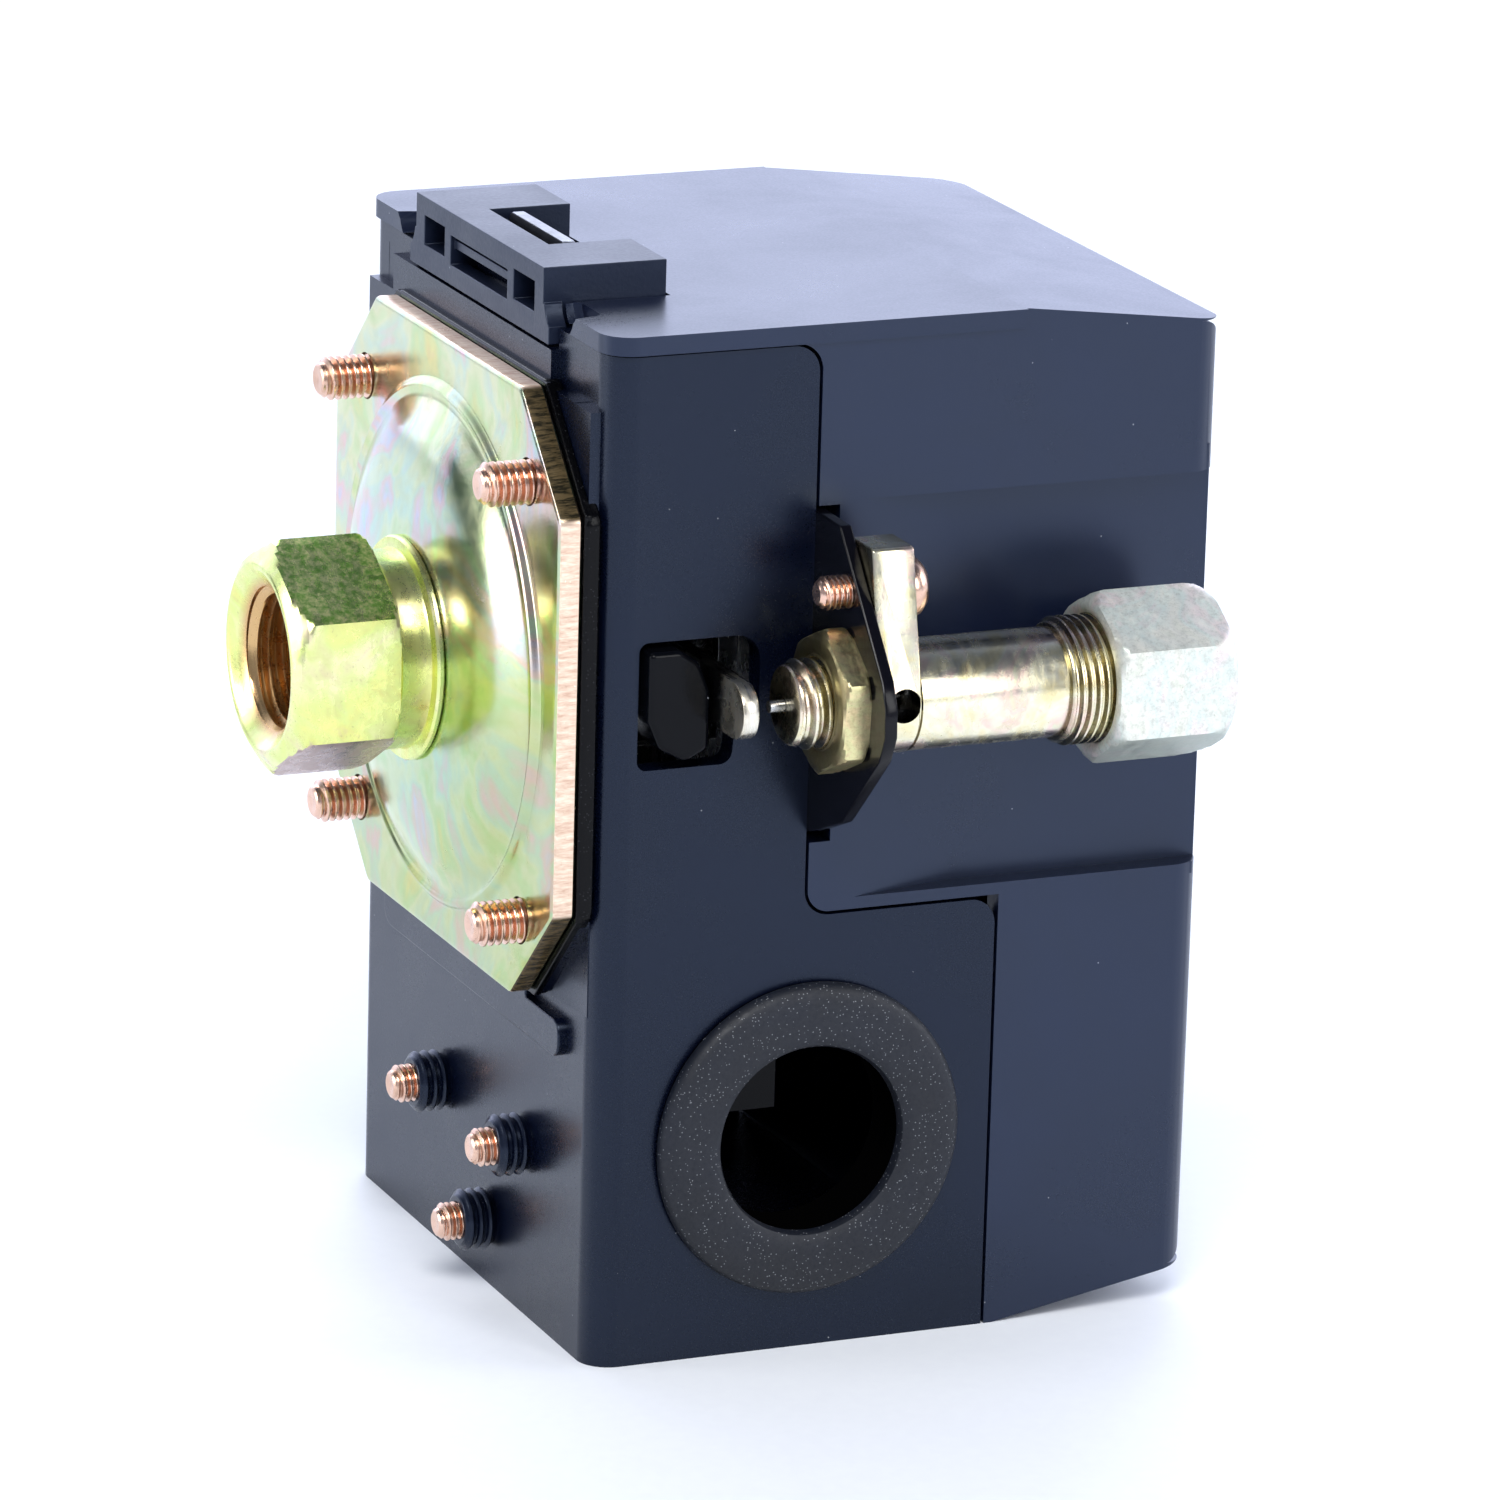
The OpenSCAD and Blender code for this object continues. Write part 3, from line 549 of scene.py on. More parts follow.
ZINC_STOPS = [
    (0.0, (0.70, 0.50, 0.32)), (0.12, (0.72, 0.66, 0.26)), (0.26, (0.52, 0.66, 0.34)),
    (0.40, (0.68, 0.70, 0.44)), (0.52, (0.54, 0.66, 0.52)), (0.64, (0.74, 0.52, 0.50)), (0.74, (0.60, 0.56, 0.66)),
    (0.84, (0.48, 0.64, 0.62)), (0.92, (0.72, 0.66, 0.30)), (1.0, (0.70, 0.52, 0.40)),
]
PORT_STOPS = [
    (0.0, (0.80, 0.68, 0.38)), (0.25, (0.82, 0.82, 0.27)), (0.5, (0.76, 0.86, 0.30)),
    (0.7, (0.84, 0.85, 0.42)), (0.85, (0.82, 0.70, 0.46)), (1.0, (0.60, 0.78, 0.40)),
]
NUT_STOPS = [
    (0.0, (0.66, 0.72, 0.58)), (0.3, (0.80, 0.80, 0.72)), (0.5, (0.72, 0.80, 0.74)),
    (0.7, (0.84, 0.74, 0.72)), (1.0, (0.72, 0.78, 0.82)),
]
GOLD_STOPS = [
    (0.0, (0.84, 0.62, 0.34)), (0.3, (0.90, 0.74, 0.42)), (0.6, (0.80, 0.76, 0.40)), (1.0, (0.86, 0.60, 0.42)),
]
PEACH_STOPS = [
    (0.0, (0.88, 0.64, 0.42)), (0.25, (0.94, 0.82, 0.48)), (0.5, (0.96, 0.92, 0.70)),
    (0.7, (0.94, 0.72, 0.62)), (0.85, (0.80, 0.88, 0.60)), (1.0, (0.92, 0.80, 0.70)),
]


def plate_zones(s, tint, metallic):
    """Bluer on the dome, and darker and browner towards the low corner on the valve's side as painted shade. The rims
    are pink, and the cut corners on the valve's side are painted dark brown as shade.
    """
    from_axis = s.reach((0, 1, 1))
    tint = s.mix(s.span(from_axis, 21.5 * MM, 13 * MM, 0, 0.62), tint, s.multiplied(tint, (0.80, 1.0, 1.12)))
    strokes = s.noise(2600, 3, 0.75, 0, (0.16, 1, 1))
    sheared = s.mix(s.span(strokes, 0.36, 0.66, 0, 1), (0.96, 0.78, 0.60), (0.64, 0.42, 0.30))
    # Painted shade: near-black brown on the cut corners' edges that face the valve's side
    cut_corner_shade = s.mix(s.span(strokes, 0.42, 0.6, 0, 1), (0.17, 0.12, 0.055), (0.03, 0.025, 0.012))
    cut_corner = s.product(s.math("ADD", s.facing("Z", 0.3, 0.6), s.facing("Z", -0.3, -0.6)), s.facing("Y", -0.3, -0.6))
    sheared = s.mix(cut_corner, sheared, cut_corner_shade)
    rim = s.product(s.math("GREATER_THAN", from_axis, 25.5 * MM), s.level_along_x(0.5))
    # Painted shade: darker and browner with distance from a point high on the far side, so towards the low corner on
    # the valve's side
    low = s.span(s.reach((1, 1, 1), (0.02, -0.03, -0.045)), 58 * MM, 85 * MM, 0, 1)
    tint = s.mix(low, tint, s.multiplied(tint, (0.74, 0.80, 0.62)))
    return s.mix(rim, tint, sheared), s.span(rim, 0, 1, metallic, 0.5)


def port_zones(s, tint, metallic):
    """The hexagon's upper flats have a darker, speckled olive, painted as the reflection of the dark ceiling, and its
    lower ones a pinkish tone painted as shade. The bore is brown.
    """
    speckle = s.span(s.noise(1500, 4, 0.75), 0.4, 0.62, 0, 1)
    shaded_olive = s.mix(speckle, (0.30, 0.60, 0.10), (1.0, 1.0, 0.42))
    flats = s.product(s.level_along_x(0.3), s.math("LESS_THAN", s.reach((1, 0, 0)), PORT_HEX_BACK * MM))
    # Painted reflection: the upward flats get the darker speckled olive
    tint = s.mix(s.product(s.facing("Z", 0.35, 0.7), flats), tint, shaded_olive)
    # Painted shade: the downward flats get a pinkish darker tone
    tint = s.mix(s.product(s.facing("Z", -0.3, -0.7), flats), tint, (0.62, 0.46, 0.40))
    return s.mix(s.span(s.reach((0, 1, 1)), 7.4 * MM, 6.6 * MM, 0, 0.9), tint, (0.62, 0.36, 0.17)), metallic


def valve_zones(s, tint, metallic):
    """A vent hole painted dark as the shade inside it, and painted shade on the ends that face the port."""
    hole = s.math("LESS_THAN", s.reach((1, 0, 1), (-VENT[0] * MM, 0, -VENT[1] * MM)), (VENT_R + 0.04) * MM)
    outer_side = s.math("GREATER_THAN", s.reach((0, 1, 0)), 35.5 * MM)
    # Painted shade inside the vent hole
    tint = s.mix(s.product(hole, outer_side), tint, (0.012, 0.010, 0.006))
    # Painted shade on the faces towards the port
    return s.mix(s.product(s.facing("X", -0.6, -0.92), 0.8), tint, (0.10, 0.085, 0.045)), metallic


def lock_nut_zones(s, tint, metallic):
    grain = s.span(s.noise(2100, 4, 0.8), 0.44, 0.66, 0, 1)
    tint = s.mix(s.product(grain, 0.4), tint, (0.42, 0.30, 0.14))
    # Painted shade: the faces towards the port are darker
    return s.mix(s.product(s.facing("X", -0.5, -0.9), 0.85), tint, (0.10, 0.085, 0.04)), metallic


def nut_zones(s, tint, metallic):
    speckle = s.span(s.noise(1900, 4, 0.8), 0.46, 0.66, 0, 1)
    tint = s.mix(s.product(speckle, 0.45), tint, (0.38, 0.40, 0.34))
    # Painted shade: the faces that look down are darker and greyer
    return s.mix(s.product(s.facing("Z", -0.3, -0.75), 0.75), tint, (0.34, 0.38, 0.32)), metallic


base_plastic = plastic("base_plastic", (0.0010, 0.0022, 0.009), rough=(0.24, 0.33), shine=0.46, sheen=(0.62, 0.75, 1.0))
cover_plastic = plastic("cover_plastic", (0.0025, 0.0050, 0.019), rough=(0.27, 0.36), shine=0.68,
                        sheen=(0.64, 0.76, 1.0))
guard_plastic = plastic("guard_plastic", (0.004, 0.007, 0.020), rough=(0.34, 0.5), grain=2400, depth=0.00004, shine=0.6,
                        sheen=(0.66, 0.77, 1.0))
cap_plastic = plastic("cap_plastic", (0.0015, 0.0018, 0.003), rough=(0.10, 0.18), dust=0.8, shine=0.12)
brown_plastic = plastic("brown_plastic", (0.10, 0.035, 0.012), rough=(0.35, 0.5), dust=0.1)
black_steel = plastic("black_steel", (0.002, 0.002, 0.004), rough=(0.12, 0.22), grain=1600, depth=0.00002, dust=0.8,
                      shine=0.22)
yellow_zinc = zinc("yellow_zinc", ZINC_STOPS, rough=(0.15, 0.24), patch=62, zones=plate_zones)
port_zinc = zinc("port_zinc", PORT_STOPS, rough=(0.2, 0.34), patch=110, pits=0.5, zones=port_zones)
valve_zinc = zinc("valve_zinc", PEACH_STOPS, rough=(0.17, 0.3), patch=130, pits=0.25, zones=valve_zones)
nut_zinc = zinc("nut_zinc", GOLD_STOPS, rough=(0.3, 0.44), patch=260, pits=0.6, zones=lock_nut_zones)
white_zinc = zinc("white_zinc", NUT_STOPS, rough=(0.36, 0.5), patch=140, pits=0.5, zones=nut_zones,
                  stain_tone=(0.86, 0.84, 0.72), metallic=0.62)
copper = metal("copper", (0.84, 0.56, 0.43), (0.50, 0.30, 0.19))
steel = metal("steel", (0.62, 0.63, 0.64), (0.42, 0.42, 0.41))
brass = metal("brass", (0.80, 0.62, 0.30), (0.55, 0.42, 0.18))
silver = metal("silver", (0.86, 0.86, 0.85), (0.62, 0.60, 0.56), rough=(0.12, 0.26))
lever_steel = metal("lever_steel", (0.24, 0.25, 0.28), (0.14, 0.14, 0.15), rough=(0.3, 0.45))
green_steel = metal("green_steel", (0.10, 0.42, 0.12), (0.06, 0.25, 0.08))
rocker_steel = shaded_steel_pale_tip("rocker_steel", pale_from_y=31.8)
grommet_rubber = rubber("grommet_rubber", (0.001, 0.003, 0.009), rough=(0.44, 0.66), speckle=0.8, bore_y=29.6)
gasket_rubber = rubber("gasket_rubber", (0.001, 0.001, 0.0015), rough=(0.12, 0.26), speckle=0.1, shine=0.14)
SLOT_MATERIAL = {
    "black_plastic": base_plastic, "yellow_zinc": yellow_zinc, "white_zinc": white_zinc, "steel": steel,
    "copper": copper, "brass": brass, "silver": silver, "rubber": gasket_rubber, "brown_plastic": brown_plastic,
    "green_steel": green_steel, "black_steel": black_steel,
}
for node, thing in frame["nodes"].items():
    thing.data.materials.clear()
    thing.data.materials.append(SLOT_MATERIAL[NODE_SLOT[node]])

# ---------------------------------------------------------------- pressure connection

port = turned("port_fitting_detail", [
    (14.0, 9.4), (13.95, 9.9), (13.75, 10.1), (13.45, 10.12), (13.2, 9.95), (13.1, 9.5), (13.05, 9.08), (12.7, 9.0),
    (10.6, 9.0), (10.25, 9.15),
    {"hex": 19, "turn": 0, "points": [(10.12, 9.3), (10.02, 9.35), (9.95, 10.1), (9.8, 10.5), (9.45, 10.8),
                                      (9.0, 10.93), (2.0, 10.93), (1.6, 10.8), (1.25, 10.55), (0.9, 10.1), (0.6, 9.6),
                                      (0.3, 9.1)]},
    (0.12, 8.8), (0.02, 8.6), (0.0, 8.45), (0.04, 8.2), (0.2, 7.95), (0.75, 7.2), (1.05, 6.8), (1.15, 6.6),
    {"thread": (1.2, 12.3, 5.78, 6.52, 1.337)},
    (12.5, 6.3), (12.55, 3.1), (12.7, 3.0), (16.4, 3.0), (16.4, 9.0), (14.05, 9.0),
], n=96)
finished(port, "housing", port_zinc, "port_fitting", angle=24)


def plate_outline(inset, corner=1.0):
    """The plate's octagon in Y and Z, with an even inset. The cut corners lose 2 - sqrt(2) of it."""
    h, c, z = PLATE["half"] - inset, PLATE["corner_cut"] - inset * 0.586, PLATE["centre_z"]
    return filleted([(-h + c, -h + z), (h - c, -h + z), (h, -h + c + z), (h, h - c + z),
                     (h - c, h + z), (-h + c, h + z), (-h, h - c + z), (-h, -h + c + z)], corner, 4)


def at_angle(outline, t):
    """Where a ray from the middle at angle t crosses the outline."""
    dx, dy = math.cos(t), math.sin(t)
    best = None
    for (ax, ay), (bx, by) in zip(outline, outline[1:] + outline[:1]):
        ex, ey = bx - ax, by - ay
        det = dx * ey - dy * ex
        if abs(det) < 1e-12:
            continue
        s = (ax * ey - ay * ex) / det
        u = (ax * dy - ay * dx) / det
        if s > 0 and -1e-9 <= u <= 1 + 1e-9 and (best is None or s > best):
            best = s
    return (dx * best, dy * best)


def flange_mesh():
    """The plate as rings round the port: the neck's seat, the dome with its ridge, the plate's rim and its back."""
    outer = plate_outline(0)
    angles = sorted({round(2 * math.pi * k / 180, 9) for k in range(180)} |
                    {round(math.atan2(v, u) % (2 * math.pi), 9) for u, v in outer})
    dome_r = 24.25
    dome = [(9.2, 14.2), (9.8, 13.98), (10.5, 13.98), (11.1, 14.08), (12.4, 14.22), (14, 14.4), (15.4, 14.58),
            (16.6, 14.78), (17.6, 14.98), (18.5, 15.22), (19.3, 15.5), (20.0, 15.8), (20.7, 16.13), (21.3, 16.43),
            (21.8, 16.67), (22.2, 16.84), (22.5, 16.93), (22.75, 16.95), (22.95, 16.9), (23.1, 16.82), (23.3, 16.78),
            (23.5, 16.84), (23.65, 16.95), (23.8, 17.12), (23.95, 17.28), (24.1, 17.37), (dome_r, PLATE_X)]
    back = [(19.4, PLATE_BACK_X), (18.5, 18.0), (12, 16.8), (9.2, 16.5), (9.2, 14.2)]
    edge = [(0.6, PLATE_X), (0.3, PLATE_X + 0.03), (0.1, PLATE_X + 0.13), (0.0, PLATE_X + 0.34),
            (0.0, PLATE_BACK_X - 0.3), (0.12, PLATE_BACK_X - 0.1), (0.35, PLATE_BACK_X)]

    def circle(r, x):
        return [(x, r * math.cos(t), r * math.sin(t)) for t in angles]

    def between(share):
        ring = []
        for t in angles:
            v, w = at_angle(outer, t)
            near = dome_r * (1 - share)
            ring.append((PLATE_X, near * math.cos(t) + share * v, near * math.sin(t) + share * w))
        return ring

    rings = [circle(r, x) for r, x in dome] + [between(share) for share in (0.15, 0.4, 0.7)]
    for inset, x in edge:
        line = plate_outline(inset)
        rings.append([(x, *at_angle(line, t)) for t in angles])
    rings += [circle(r, x) for r, x in back]
    return mesh_of("flange_plate_detail", *sweep_rings(rings))


flange = new_object("flange_plate_detail", flange_mesh())
for place in FLANGE_SCREWS:
    cut(flange, pin(2.15, 15, 22, place, n=40))
finished(flange, "housing", yellow_zinc, "flange_plate", angle=28)

# The gasket is real, but it is drawn a little wider than the plate in deep black, so it also stands as painted shade
# for the dark gap along the plate's edge
gasket = slab("gasket", plate_outline(-0.45, corner=2.0), PLATE_BACK_X + 0.02, FACE_X - 0.05)
cut(gasket, pin(19.6, 15, 25, n=72))
rounded(gasket, 0.35, 4)
membrane = copy_of("diaphragm", "membrane")
rounded(membrane, 0.12, 2, 35)
finished(joined([gasket, membrane], "diaphragm_detail"), "housing", gasket_rubber, "diaphragm", level=True)


def cross_recess(piece, x0, x1, centre, size):
    y, z = centre
    for turn in (0, 1):
        a, b = (size, size * 0.28) if turn else (size * 0.28, size)
        cut(piece, brick("tool", (x0, x1), (y - a, y + a), (z - b, z + b)))


def machine_screw(centre, tip, thread_end, head, head_h, head_r, crest, root, pitch):
    """A pan-head screw along X with a cross recess, its tip at the low end."""
    top = head + head_h
    piece = turned("screw", [
        (tip + 0.12, 0.02), (tip + 0.1, 0.35), (tip, 0.75), (tip, root - 0.28), (tip + 0.12, root - 0.08),
        (tip + 0.3, root + 0.02),
        {"thread": (tip + 0.3, thread_end, crest, root, pitch)},
        (thread_end + 0.1, root + 0.05), (thread_end + 0.3, crest - 0.04), (head, crest - 0.04), (head, head_r - 0.15),
        (head + 0.12, head_r), (head + head_h * 0.45, head_r), (head + head_h * 0.8, head_r * 0.86),
        (top, head_r * 0.5), (top, 0.02),
    ], centre, n=48)
    cross_recess(piece, head + head_h * 0.35, top + 1, centre, head_r * 0.52)
    return piece


M4 = {"tip": 12.7, "thread_end": 22.5, "head": 25.7, "head_h": 2.4, "head_r": 3.5,
      "crest": 2.02, "root": 1.5, "pitch": 0.7}
M3_5 = {"tip": 16.0, "thread_end": 25, "head": 27.5, "head_h": 2.0, "head_r": 3.0,
        "crest": 1.76, "root": 1.32, "pitch": 0.6}
for node, places, size in (("flange_screws", FLANGE_SCREWS, M4), ("block_screws", BLOCK_SCREWS, M3_5)):
    screws = joined([machine_screw(place, **size) for place in places], node + "_detail")
    finished(screws, "housing", copper, node, angle=28)

# ---------------------------------------------------------------- housing

base = copy_of("base_housing", "base_housing_detail")
# The pocket for the rocker's arm, with round corners
cut(base, brick("tool", (FLOOR_X, 36.4), (-SIDE_Y, -SIDE_Y + WALL), (-4.7, 7.5)), "UNION")
pocket = filleted([(24.45, -4.4, 0.9), (33.4, -4.4, 1.2), (33.6, -1.5, 0.9), (35.9, -1.5, 1.1), (35.9, 7.2, 2.3),
                   (24.45, 7.2, 0.9)], 1, 6)
cut(base, slab("tool", pocket, -SIDE_Y - 1, -SIDE_Y + WALL + 1, axis="y"))
# The pad behind the plate: two steps at its top, no low part, and a corner cut like the plate's
PAD_CUT_X = 19  # outside the pad, where the cuts start
for y in ((-24.5, -17.6), (21, 24.5)):
    cut(base, brick("tool", (PAD_CUT_X, FACE_X + 0.02), y, (27.65, 31.25)))
cut(base, brick("tool", (PAD_CUT_X, FACE_X), (-18.5, 22), (-34, -27.3)))
cut(base, slab("tool", [(-28, -17.94), (-28, -28.2), (-17.74, -28.2)], PAD_CUT_X, FACE_X))
for place in BLOCK_SCREWS:
    cut(base, pin(3.2, 16.6, 18.25, place, n=40))
whole(base.data)
rounded(base, 0.32, 3)


def low_bar():
    """The bar with round ends below the plate."""
    outline = filleted([(-22.6, -32.5, 1.5), (21, -32.5, 2.0), (21, -27, 0.2), (-14.6, -27, 0.2), (-14.6, -29.0, 0.3),
                        (-22.6, -29.0, 1.3)], 1, 6)
    return rounded(slab("bar", outline, PAD_X + 0.01, FACE_X + 0.9), 0.75, 4, 60)


def ribbed_sleeve(place):
    """The sleeve round a block screw, with three ribs."""
    parts = [(18.1, 1.78), (18.12, 2.2), (18.2, 2.4)]
    for x in (18.35, 19.25, 20.15):
        parts += [(x, 2.42), (x + 0.12, 2.72), (x + 0.32, 2.84), (x + 0.52, 2.72), (x + 0.66, 2.42)]
    parts += [(21.5, 2.44), (21.5, 1.78), (18.1, 1.78)]
    return turned("sleeve", parts, place, n=40)


base = joined([base, low_bar()] + [ribbed_sleeve(place) for place in BLOCK_SCREWS], "base_housing_detail")
finished(base, "housing", base_plastic, "base_housing", angle=30, level=True)


def finger_notches(piece):
    """Half-round hollows in the front edge, one on each side of the guard."""
    for y in (-18.5, 18.5):
        cut(piece, turned("tool", [(18, NEAR_AXIS), (18, 2.75), (23, 2.75), (23.6, 2.2), (23.6, NEAR_AXIS)],
                          (y, 35.1), n=48))


def guard_changes(piece):
    """The same hollows, and a bar across the front of the slot."""
    finger_notches(piece)
    cut(piece, brick("tool", (20.75, 22.6), (-7.2, 7.2), (34.55, 35.35)), "UNION")


softened("top_cover", "top_cover_detail", cover_plastic, 0.35, 3, change=finger_notches)
softened("lever_guard", "lever_guard_detail", guard_plastic, 0.3, 3, change=guard_changes)


def grommet(node, side):
    """A cable grommet on the side face, given as (distance out of the face, radius) points."""
    section = [(-5.4, 8.9), (-5.5, 9.3), (-5.55, 10.2), (-5.3, 10.9), (-4.6, 11.8), (-4.3, 12.0), (-2.5, 12.0),
               (-2.42, 11.9), (-2.4, 11.0), (0, 11.0), (0.02, 14.3), (0.12, 14.45), (0.45, 14.5), (0.9, 14.42),
               (1.35, 14.15), (1.62, 13.7), (1.76, 13.1), (1.8, 12.4), (1.8, 10.6), (1.78, 9.9), (1.68, 9.3),
               (1.42, 8.85), (1.0, 8.64), (0.5, 8.62), (0.3, 8.75), (0.1, 9.5), (-0.3, 10.1), (-5.0, 10.1),
               (-5.3, 9.3), (-5.4, 8.9)]
    parts = [(side * (SIDE_Y + out), r) for out, r in section]
    finished(turned(node + "_detail", parts, ENTRY, axis="y", n=112), "housing", grommet_rubber, node)


grommet("grommet_front", -1)
grommet("grommet_rear", 1)

# ---------------------------------------------------------------- unloader valve

valve = turned("valve_body_detail", [
    (35.1, 0.68), (35.1, 3.05), (35.22, 3.4), (35.4, 3.55),
    {"thread": (35.4, 40.6, 4.02, 3.36, 1.25)},
    (41, 3.95), (42.5, 3.95), (42.5, 4.7), (46.1, 4.7), (46.2, 4.9), (60.2, 4.9), (60.35, 4.86), (60.4, 5.2),
    (60.5, 5.3),
    {"thread": (60.5, 66.5, 5.74, 5.26, 0.8)},
    (68.3, 5.3), (68.4, 5.0), (68.4, 3.12), (66, 3.1), (63, 3.1), (63, 1.2), (56, 1.2), (56, 2.4), (46.5, 2.4),
    (46.5, 0.68), (35.1, 0.68),
], VALVE, n=80)
cut(valve, pin(VENT_R, -50, -37, VENT, "y"))
ear_outline = arc(VALVE[0], VALVE[1], 4.98, 195, 345, 28) + filleted([
    (-31.55, 4.0), (-34.1, 16.75, 0.5), (-38.85, 16.75, 0.5), (-41.35, 4.0)], 0.0005, 4)
ear = slab("ear", ear_outline, 42, 46)
rounded(ear, 0.22, 3, 40)
cut(ear, pin(4.6, 40, 48, VALVE, n=64))
cut(ear, pin(1.55, 40, 48, EAR_SCREW))
cut(ear, pin(VENT_R, -50, -37, VENT, "y"))
valve = joined([valve, ear], "valve_body_detail")
finished(valve, "housing", valve_zinc, "valve_body", angle=28)

lock_nut = turned("valve_lock_nut_detail", [
    (38.2, 4.05), (38.3, 4.3), (38.2, 4.6),
    {"hex": 11.8, "turn": 125, "points": [(38.2, 5.5), (38.24, 5.8), (38.42, 6.2), (38.62, 6.55), (38.8, 6.8),
                                          (40.2, 6.8), (40.55, 6.6), (40.8, 6.2)]},
    (40.8, 4.05), (38.2, 4.05),
], VALVE, n=96)
finished(lock_nut, "housing", nut_zinc, "valve_lock_nut", angle=24)

nut = turned("compression_nut_detail", [
    (64.35, 5.78), (64.2, 6.0), (64.1, 6.3),
    {"hex": 13.8, "turn": 0, "points": [(64.1, 6.6), (64.25, 7.0), (64.6, 7.5), (65.0, 7.85), (65.4, 7.93),
                                        (73.0, 7.93), (73.7, 7.85), (74.4, 7.65), (75.0, 7.35), (75.4, 7.05)]},
    (75.7, 6.7), (75.85, 6.35), (75.9, 5.9), (75.9, 3.9), (75.86, 3.7), (75.5, 3.3), (75.2, 3.12), (71, 3.1),
    (71, 5.76), (64.6, 5.76), (64.35, 5.78),
], VALVE, n=96)
finished(nut, "housing", white_zinc, "compression_nut", angle=24)

ear_screw = turned("valve_ear_screw_detail", [
    (37.9, 0.02), (37.9, 0.9), (38.05, 1.1), (38.2, 1.22),
    {"thread": (38.2, 43, 1.52, 1.22, 0.5)},
    (43.2, 1.25), (43.4, 1.46), (46.0, 1.46), (46.0, 2.6), (46.1, 2.75), (46.6, 2.78), (47.2, 2.55), (47.7, 2.0),
    (47.9, 1.3), (47.9, 0.02),
], EAR_SCREW, n=44)
cross_recess(ear_screw, 46.9, 49, EAR_SCREW, 1.4)
finished(ear_screw, "housing", copper, "valve_ear_screw")

softened("valve_bracket", "valve_bracket_detail", black_steel, 0.2, 2)
cap_outline = filleted([(24.95, 6.6, 0.5), (24.95, 0.3, 1.2), (26.0, -2.2, 1.0), (28.6, -3.6, 1.5), (30.7, -2.4, 1.0),
                        (30.75, 2.8, 0.9), (29.6, 5.4, 1.2), (27.9, 6.6, 1.2)], 1, 5)
cap = slab("rocker_end_cap_detail", cap_outline, -30.65, -25.75, axis="y")
rounded(cap, 0.75, 3, 40)
finished(cap, "rocker", cap_plastic, "rocker_end_cap", level=True)


# ---------------------------------------------------------------- springs

def coil(name, r, wire, x0, x1, centre, lo=0.0, hi=1.0, turns=5, sides=12):
    """The part of a spring along X between the shares lo and hi of its length."""
    steps = max(8, round(turns * 28 * (hi - lo)))
    rise = x1 - x0 - wire
    points, faces = [], []
    for i in range(steps + 1):
        t = lo + (hi - lo) * i / steps
        a = 2 * math.pi * turns * t
        middle = Vector((x0 + wire / 2 + rise * t, centre[0] + r * math.cos(a), centre[1] + r * math.sin(a)))
        out = Vector((0, math.cos(a), math.sin(a)))
        along = Vector((rise / (2 * math.pi * turns), -r * math.sin(a), r * math.cos(a))).normalized()
        side = along.cross(out)
        for k in range(sides):
            b = 2 * math.pi * k / sides
            points.append(middle + (out * math.cos(b) + side * math.sin(b)) * wire / 2)
    for i in range(steps):
        for k in range(sides):
            near, far, after = i * sides, (i + 1) * sides, (k + 1) % sides
            faces.append((near + k, near + after, far + after, far + k))
    return new_object(name, mesh_of(name, points, faces))


def pressed(piece, node):
    """A spring or part of one, which two bodies press together: steel with smooth shading, in place of the CAD node."""
    smooth(piece)
    piece.data.materials.clear()
    piece.data.materials.append(steel)
    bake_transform(piece)
    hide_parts(node)


pressed(coil("valve_spring_detail", 1.6, 0.4, 48.2, 56, VALVE), "valve_spring")
SPRING_START_X = 32.5
for node, r, wire, end_x, z in (("range_spring", 5.4, 2, 49, 4), ("differential_spring", 3.1, 0.9, 45, -10)):
    front = coil(node + "_front", r, wire, SPRING_START_X, end_x, (0, z), 0, 0.5)
    pressed(front, node)
    back = coil(node + "_back", r, wire, SPRING_START_X, end_x, (0, z), 0.5, 1)
    pressed(back, node)

# ---------------------------------------------------------------- everything else keeps its shape, with eased edges

EASED = {
    "rocker_lever": (rocker_steel, 0.3), "main_frame": (steel, 0.14), "frame_top_bar": (steel, 0.14),
    "off_lever": (lever_steel, 0.16), "contact_block": (cap_plastic, 0.18), "contact_carrier": (brown_plastic, 0.18),
    "contact_bridges": (copper, 0.1), "fixed_contacts": (brass, 0.1), "terminal_clamps": (white_zinc, 0.1),
    "range_seat": (steel, 0.14), "differential_seat": (steel, 0.14), "range_screw": (white_zinc, 0.12),
    "differential_screw": (white_zinc, 0.12), "cover_screws": (steel, 0.15), "terminal_screws": (steel, 0.12),
    "ground_screws": (green_steel, 0.12),
}
for node, (material, edge_r) in EASED.items():
    softened(node, node + "_detail", material, edge_r)

# ---------------------------------------------------------------- stage

FLOOR_Z = frame["record"]["mounts"][-1]["pos_m"][2]  # the face it stands on, in metres as all of the stage


def stage_sheet(name, corners, tints, rough, grain):
    """A flat piece of the stage with a paper material."""
    mesh = bpy.data.meshes.new(name)
    mesh.from_pydata(corners, [], [(0, 1, 2, 3)])
    sheet = new_object(name, mesh)
    s = Shader(name + "_paper")
    fleck = s.span(s.noise(grain, 2), 0.3, 0.7, 0, 1)
    sheet.data.materials.append(s.done(s.mix(fleck, *tints), s.span(fleck, 0, 1, *rough)))
    return sheet


stage_sheet("floor", [(-3, -3, FLOOR_Z), (3, -3, FLOOR_Z), (3, 3, FLOOR_Z), (-3, 3, FLOOR_Z)],
            ((0.875, 0.905, 0.955), (0.89, 0.92, 0.965)), (0.6, 0.7), 900)
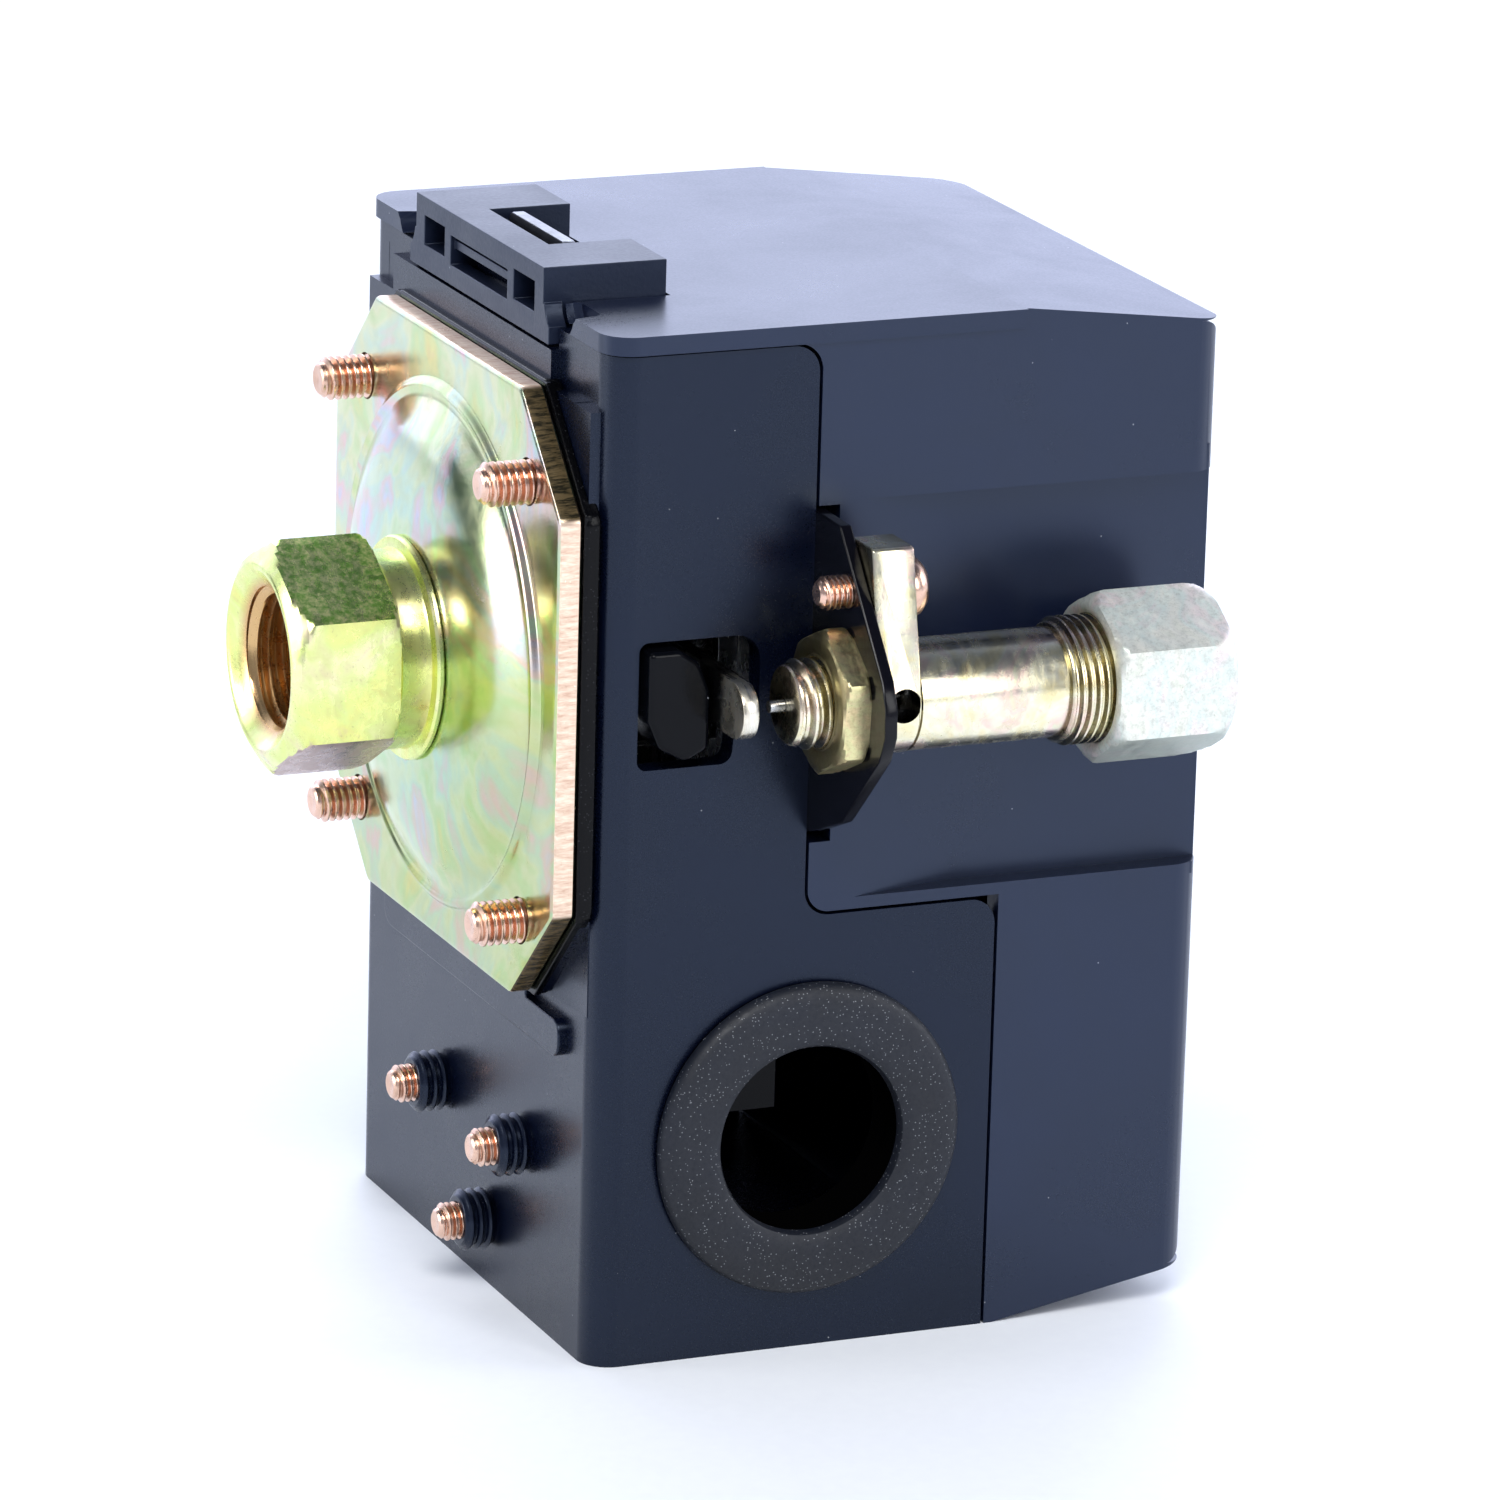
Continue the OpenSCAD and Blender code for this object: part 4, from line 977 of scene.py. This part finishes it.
# A dark card, only for the dome to reflect
CARD_TOP = 0.13
card = stage_sheet("card", [(-0.51, 0.32, FLOOR_Z), (-0.35, 0.49, FLOOR_Z),
                            (-0.35, 0.49, CARD_TOP), (-0.51, 0.32, CARD_TOP)],
                   ((0.010, 0.03, 0.022), (0.02, 0.05, 0.035)), (0.8, 0.95), 500)
card.visible_camera = card.visible_diffuse = card.visible_shadow = False


def make_backdrop():
    """White to the camera. The object is lit by a bright low backdrop behind it, dim walls and a dark ceiling."""
    world = bpy.data.worlds.new("studio")
    scene.world = world
    world.use_nodes = True
    tree = world.node_tree
    tree.nodes.clear()

    def added(kind, *inputs):
        """A new node whose first inputs are linked to outputs or set to constants."""
        node = tree.nodes.new(kind)
        for socket, value in zip(node.inputs, inputs):
            if isinstance(value, bpy.types.NodeSocket):
                tree.links.new(value, socket)
            else:
                socket.default_value = value
        return node

    direction = added("ShaderNodeTexCoord").outputs["Generated"]
    forward = added("ShaderNodeVectorMath", direction, (0.39, 0.92, 0))
    forward.operation = "DOT_PRODUCT"
    across = colour_ramp(tree, added("ShaderNodeMapRange", forward.outputs["Value"], -1, 1).outputs[0], [
        (0.0, (0.36, 0.38, 0.44)), (0.35, (0.30, 0.33, 0.42)), (0.62, (0.5, 0.56, 0.70)), (0.8, (1.5, 1.62, 2.1)),
        (1.0, (1.9, 2.05, 2.75))])
    height = added("ShaderNodeSeparateXYZ", direction).outputs["Z"]
    above = colour_ramp(tree, added("ShaderNodeMapRange", height, 0, 1).outputs[0], [
        (0.0, (1, 1, 1)), (0.42, (1, 1, 1)), (0.7, (0.35, 0.36, 0.38)), (0.86, (0.16, 0.17, 0.19)),
        (1.0, (0.3, 0.31, 0.34))])
    both = added("ShaderNodeMix")
    both.data_type, both.blend_type = "RGBA", "MULTIPLY"
    both.inputs["Factor"].default_value = 1
    tree.links.new(across, both.inputs[6])
    tree.links.new(above, both.inputs[7])
    lit = added("ShaderNodeBackground", both.outputs[2]).outputs[0]
    seen = added("ShaderNodeBackground", (1, 1, 1, 1)).outputs[0]
    to_camera = added("ShaderNodeLightPath").outputs["Is Camera Ray"]
    added("ShaderNodeOutputWorld", added("ShaderNodeMixShader", to_camera, lit, seen).outputs[0])


make_backdrop()


def area_light(name, place, aim, size, power, colour=(1, 1, 1)):
    light = bpy.data.lights.new(name, "AREA")
    light.shape = "RECTANGLE"
    light.size, light.size_y = size
    light.energy = power
    light.color = colour
    lamp = bpy.data.objects.new(name, light)
    lamp.location = place
    lamp.rotation_euler = (Vector(aim) - Vector(place)).to_track_quat("-Z", "Y").to_euler()
    scene.collection.objects.link(lamp)


area_light("key", (-0.35, -0.75, 0.95), (0.03, 0, -0.02), (0.7, 0.5), 12)
area_light("left", (-0.90, 0.31, 0.20), (0.02, 0, 0.0), (0.36, 0.5), 3.4)
area_light("front", (0.45, -0.93, 0.40), (0.05, -0.03, 0.0), (0.26, 0.62), 2.4)
area_light("fill", (0.9, -0.3, 0.35), (0.04, 0, 0), (0.5, 0.5), 3)
area_light("back", (0.3, 1.1, 0.9), (0.05, 0.1, -0.05), (1.2, 0.6), 9, (0.92, 0.96, 1))

# The photo's angle and perspective
CAMERA = {"place": (-0.26598, -0.72500, 0.21740), "right": (0.92042, -0.38990, 0.02679),
          "up": (0.08539, 0.26752, 0.95968), "back": (-0.38137, -0.88110, 0.27955)}
lens = bpy.data.cameras.new("camera")
lens.lens = 216.3
lens.sensor_width = 36
lens.clip_start = 0.01
camera = bpy.data.objects.new("camera", lens)
columns = [CAMERA[key] for key in ("right", "up", "back", "place")]
camera.matrix_world = Matrix([[column[i] for column in columns] for i in range(3)] + [[0, 0, 0, 1]])
scene.collection.objects.link(camera)
scene.camera = camera
scene.view_settings.view_transform = "Standard"
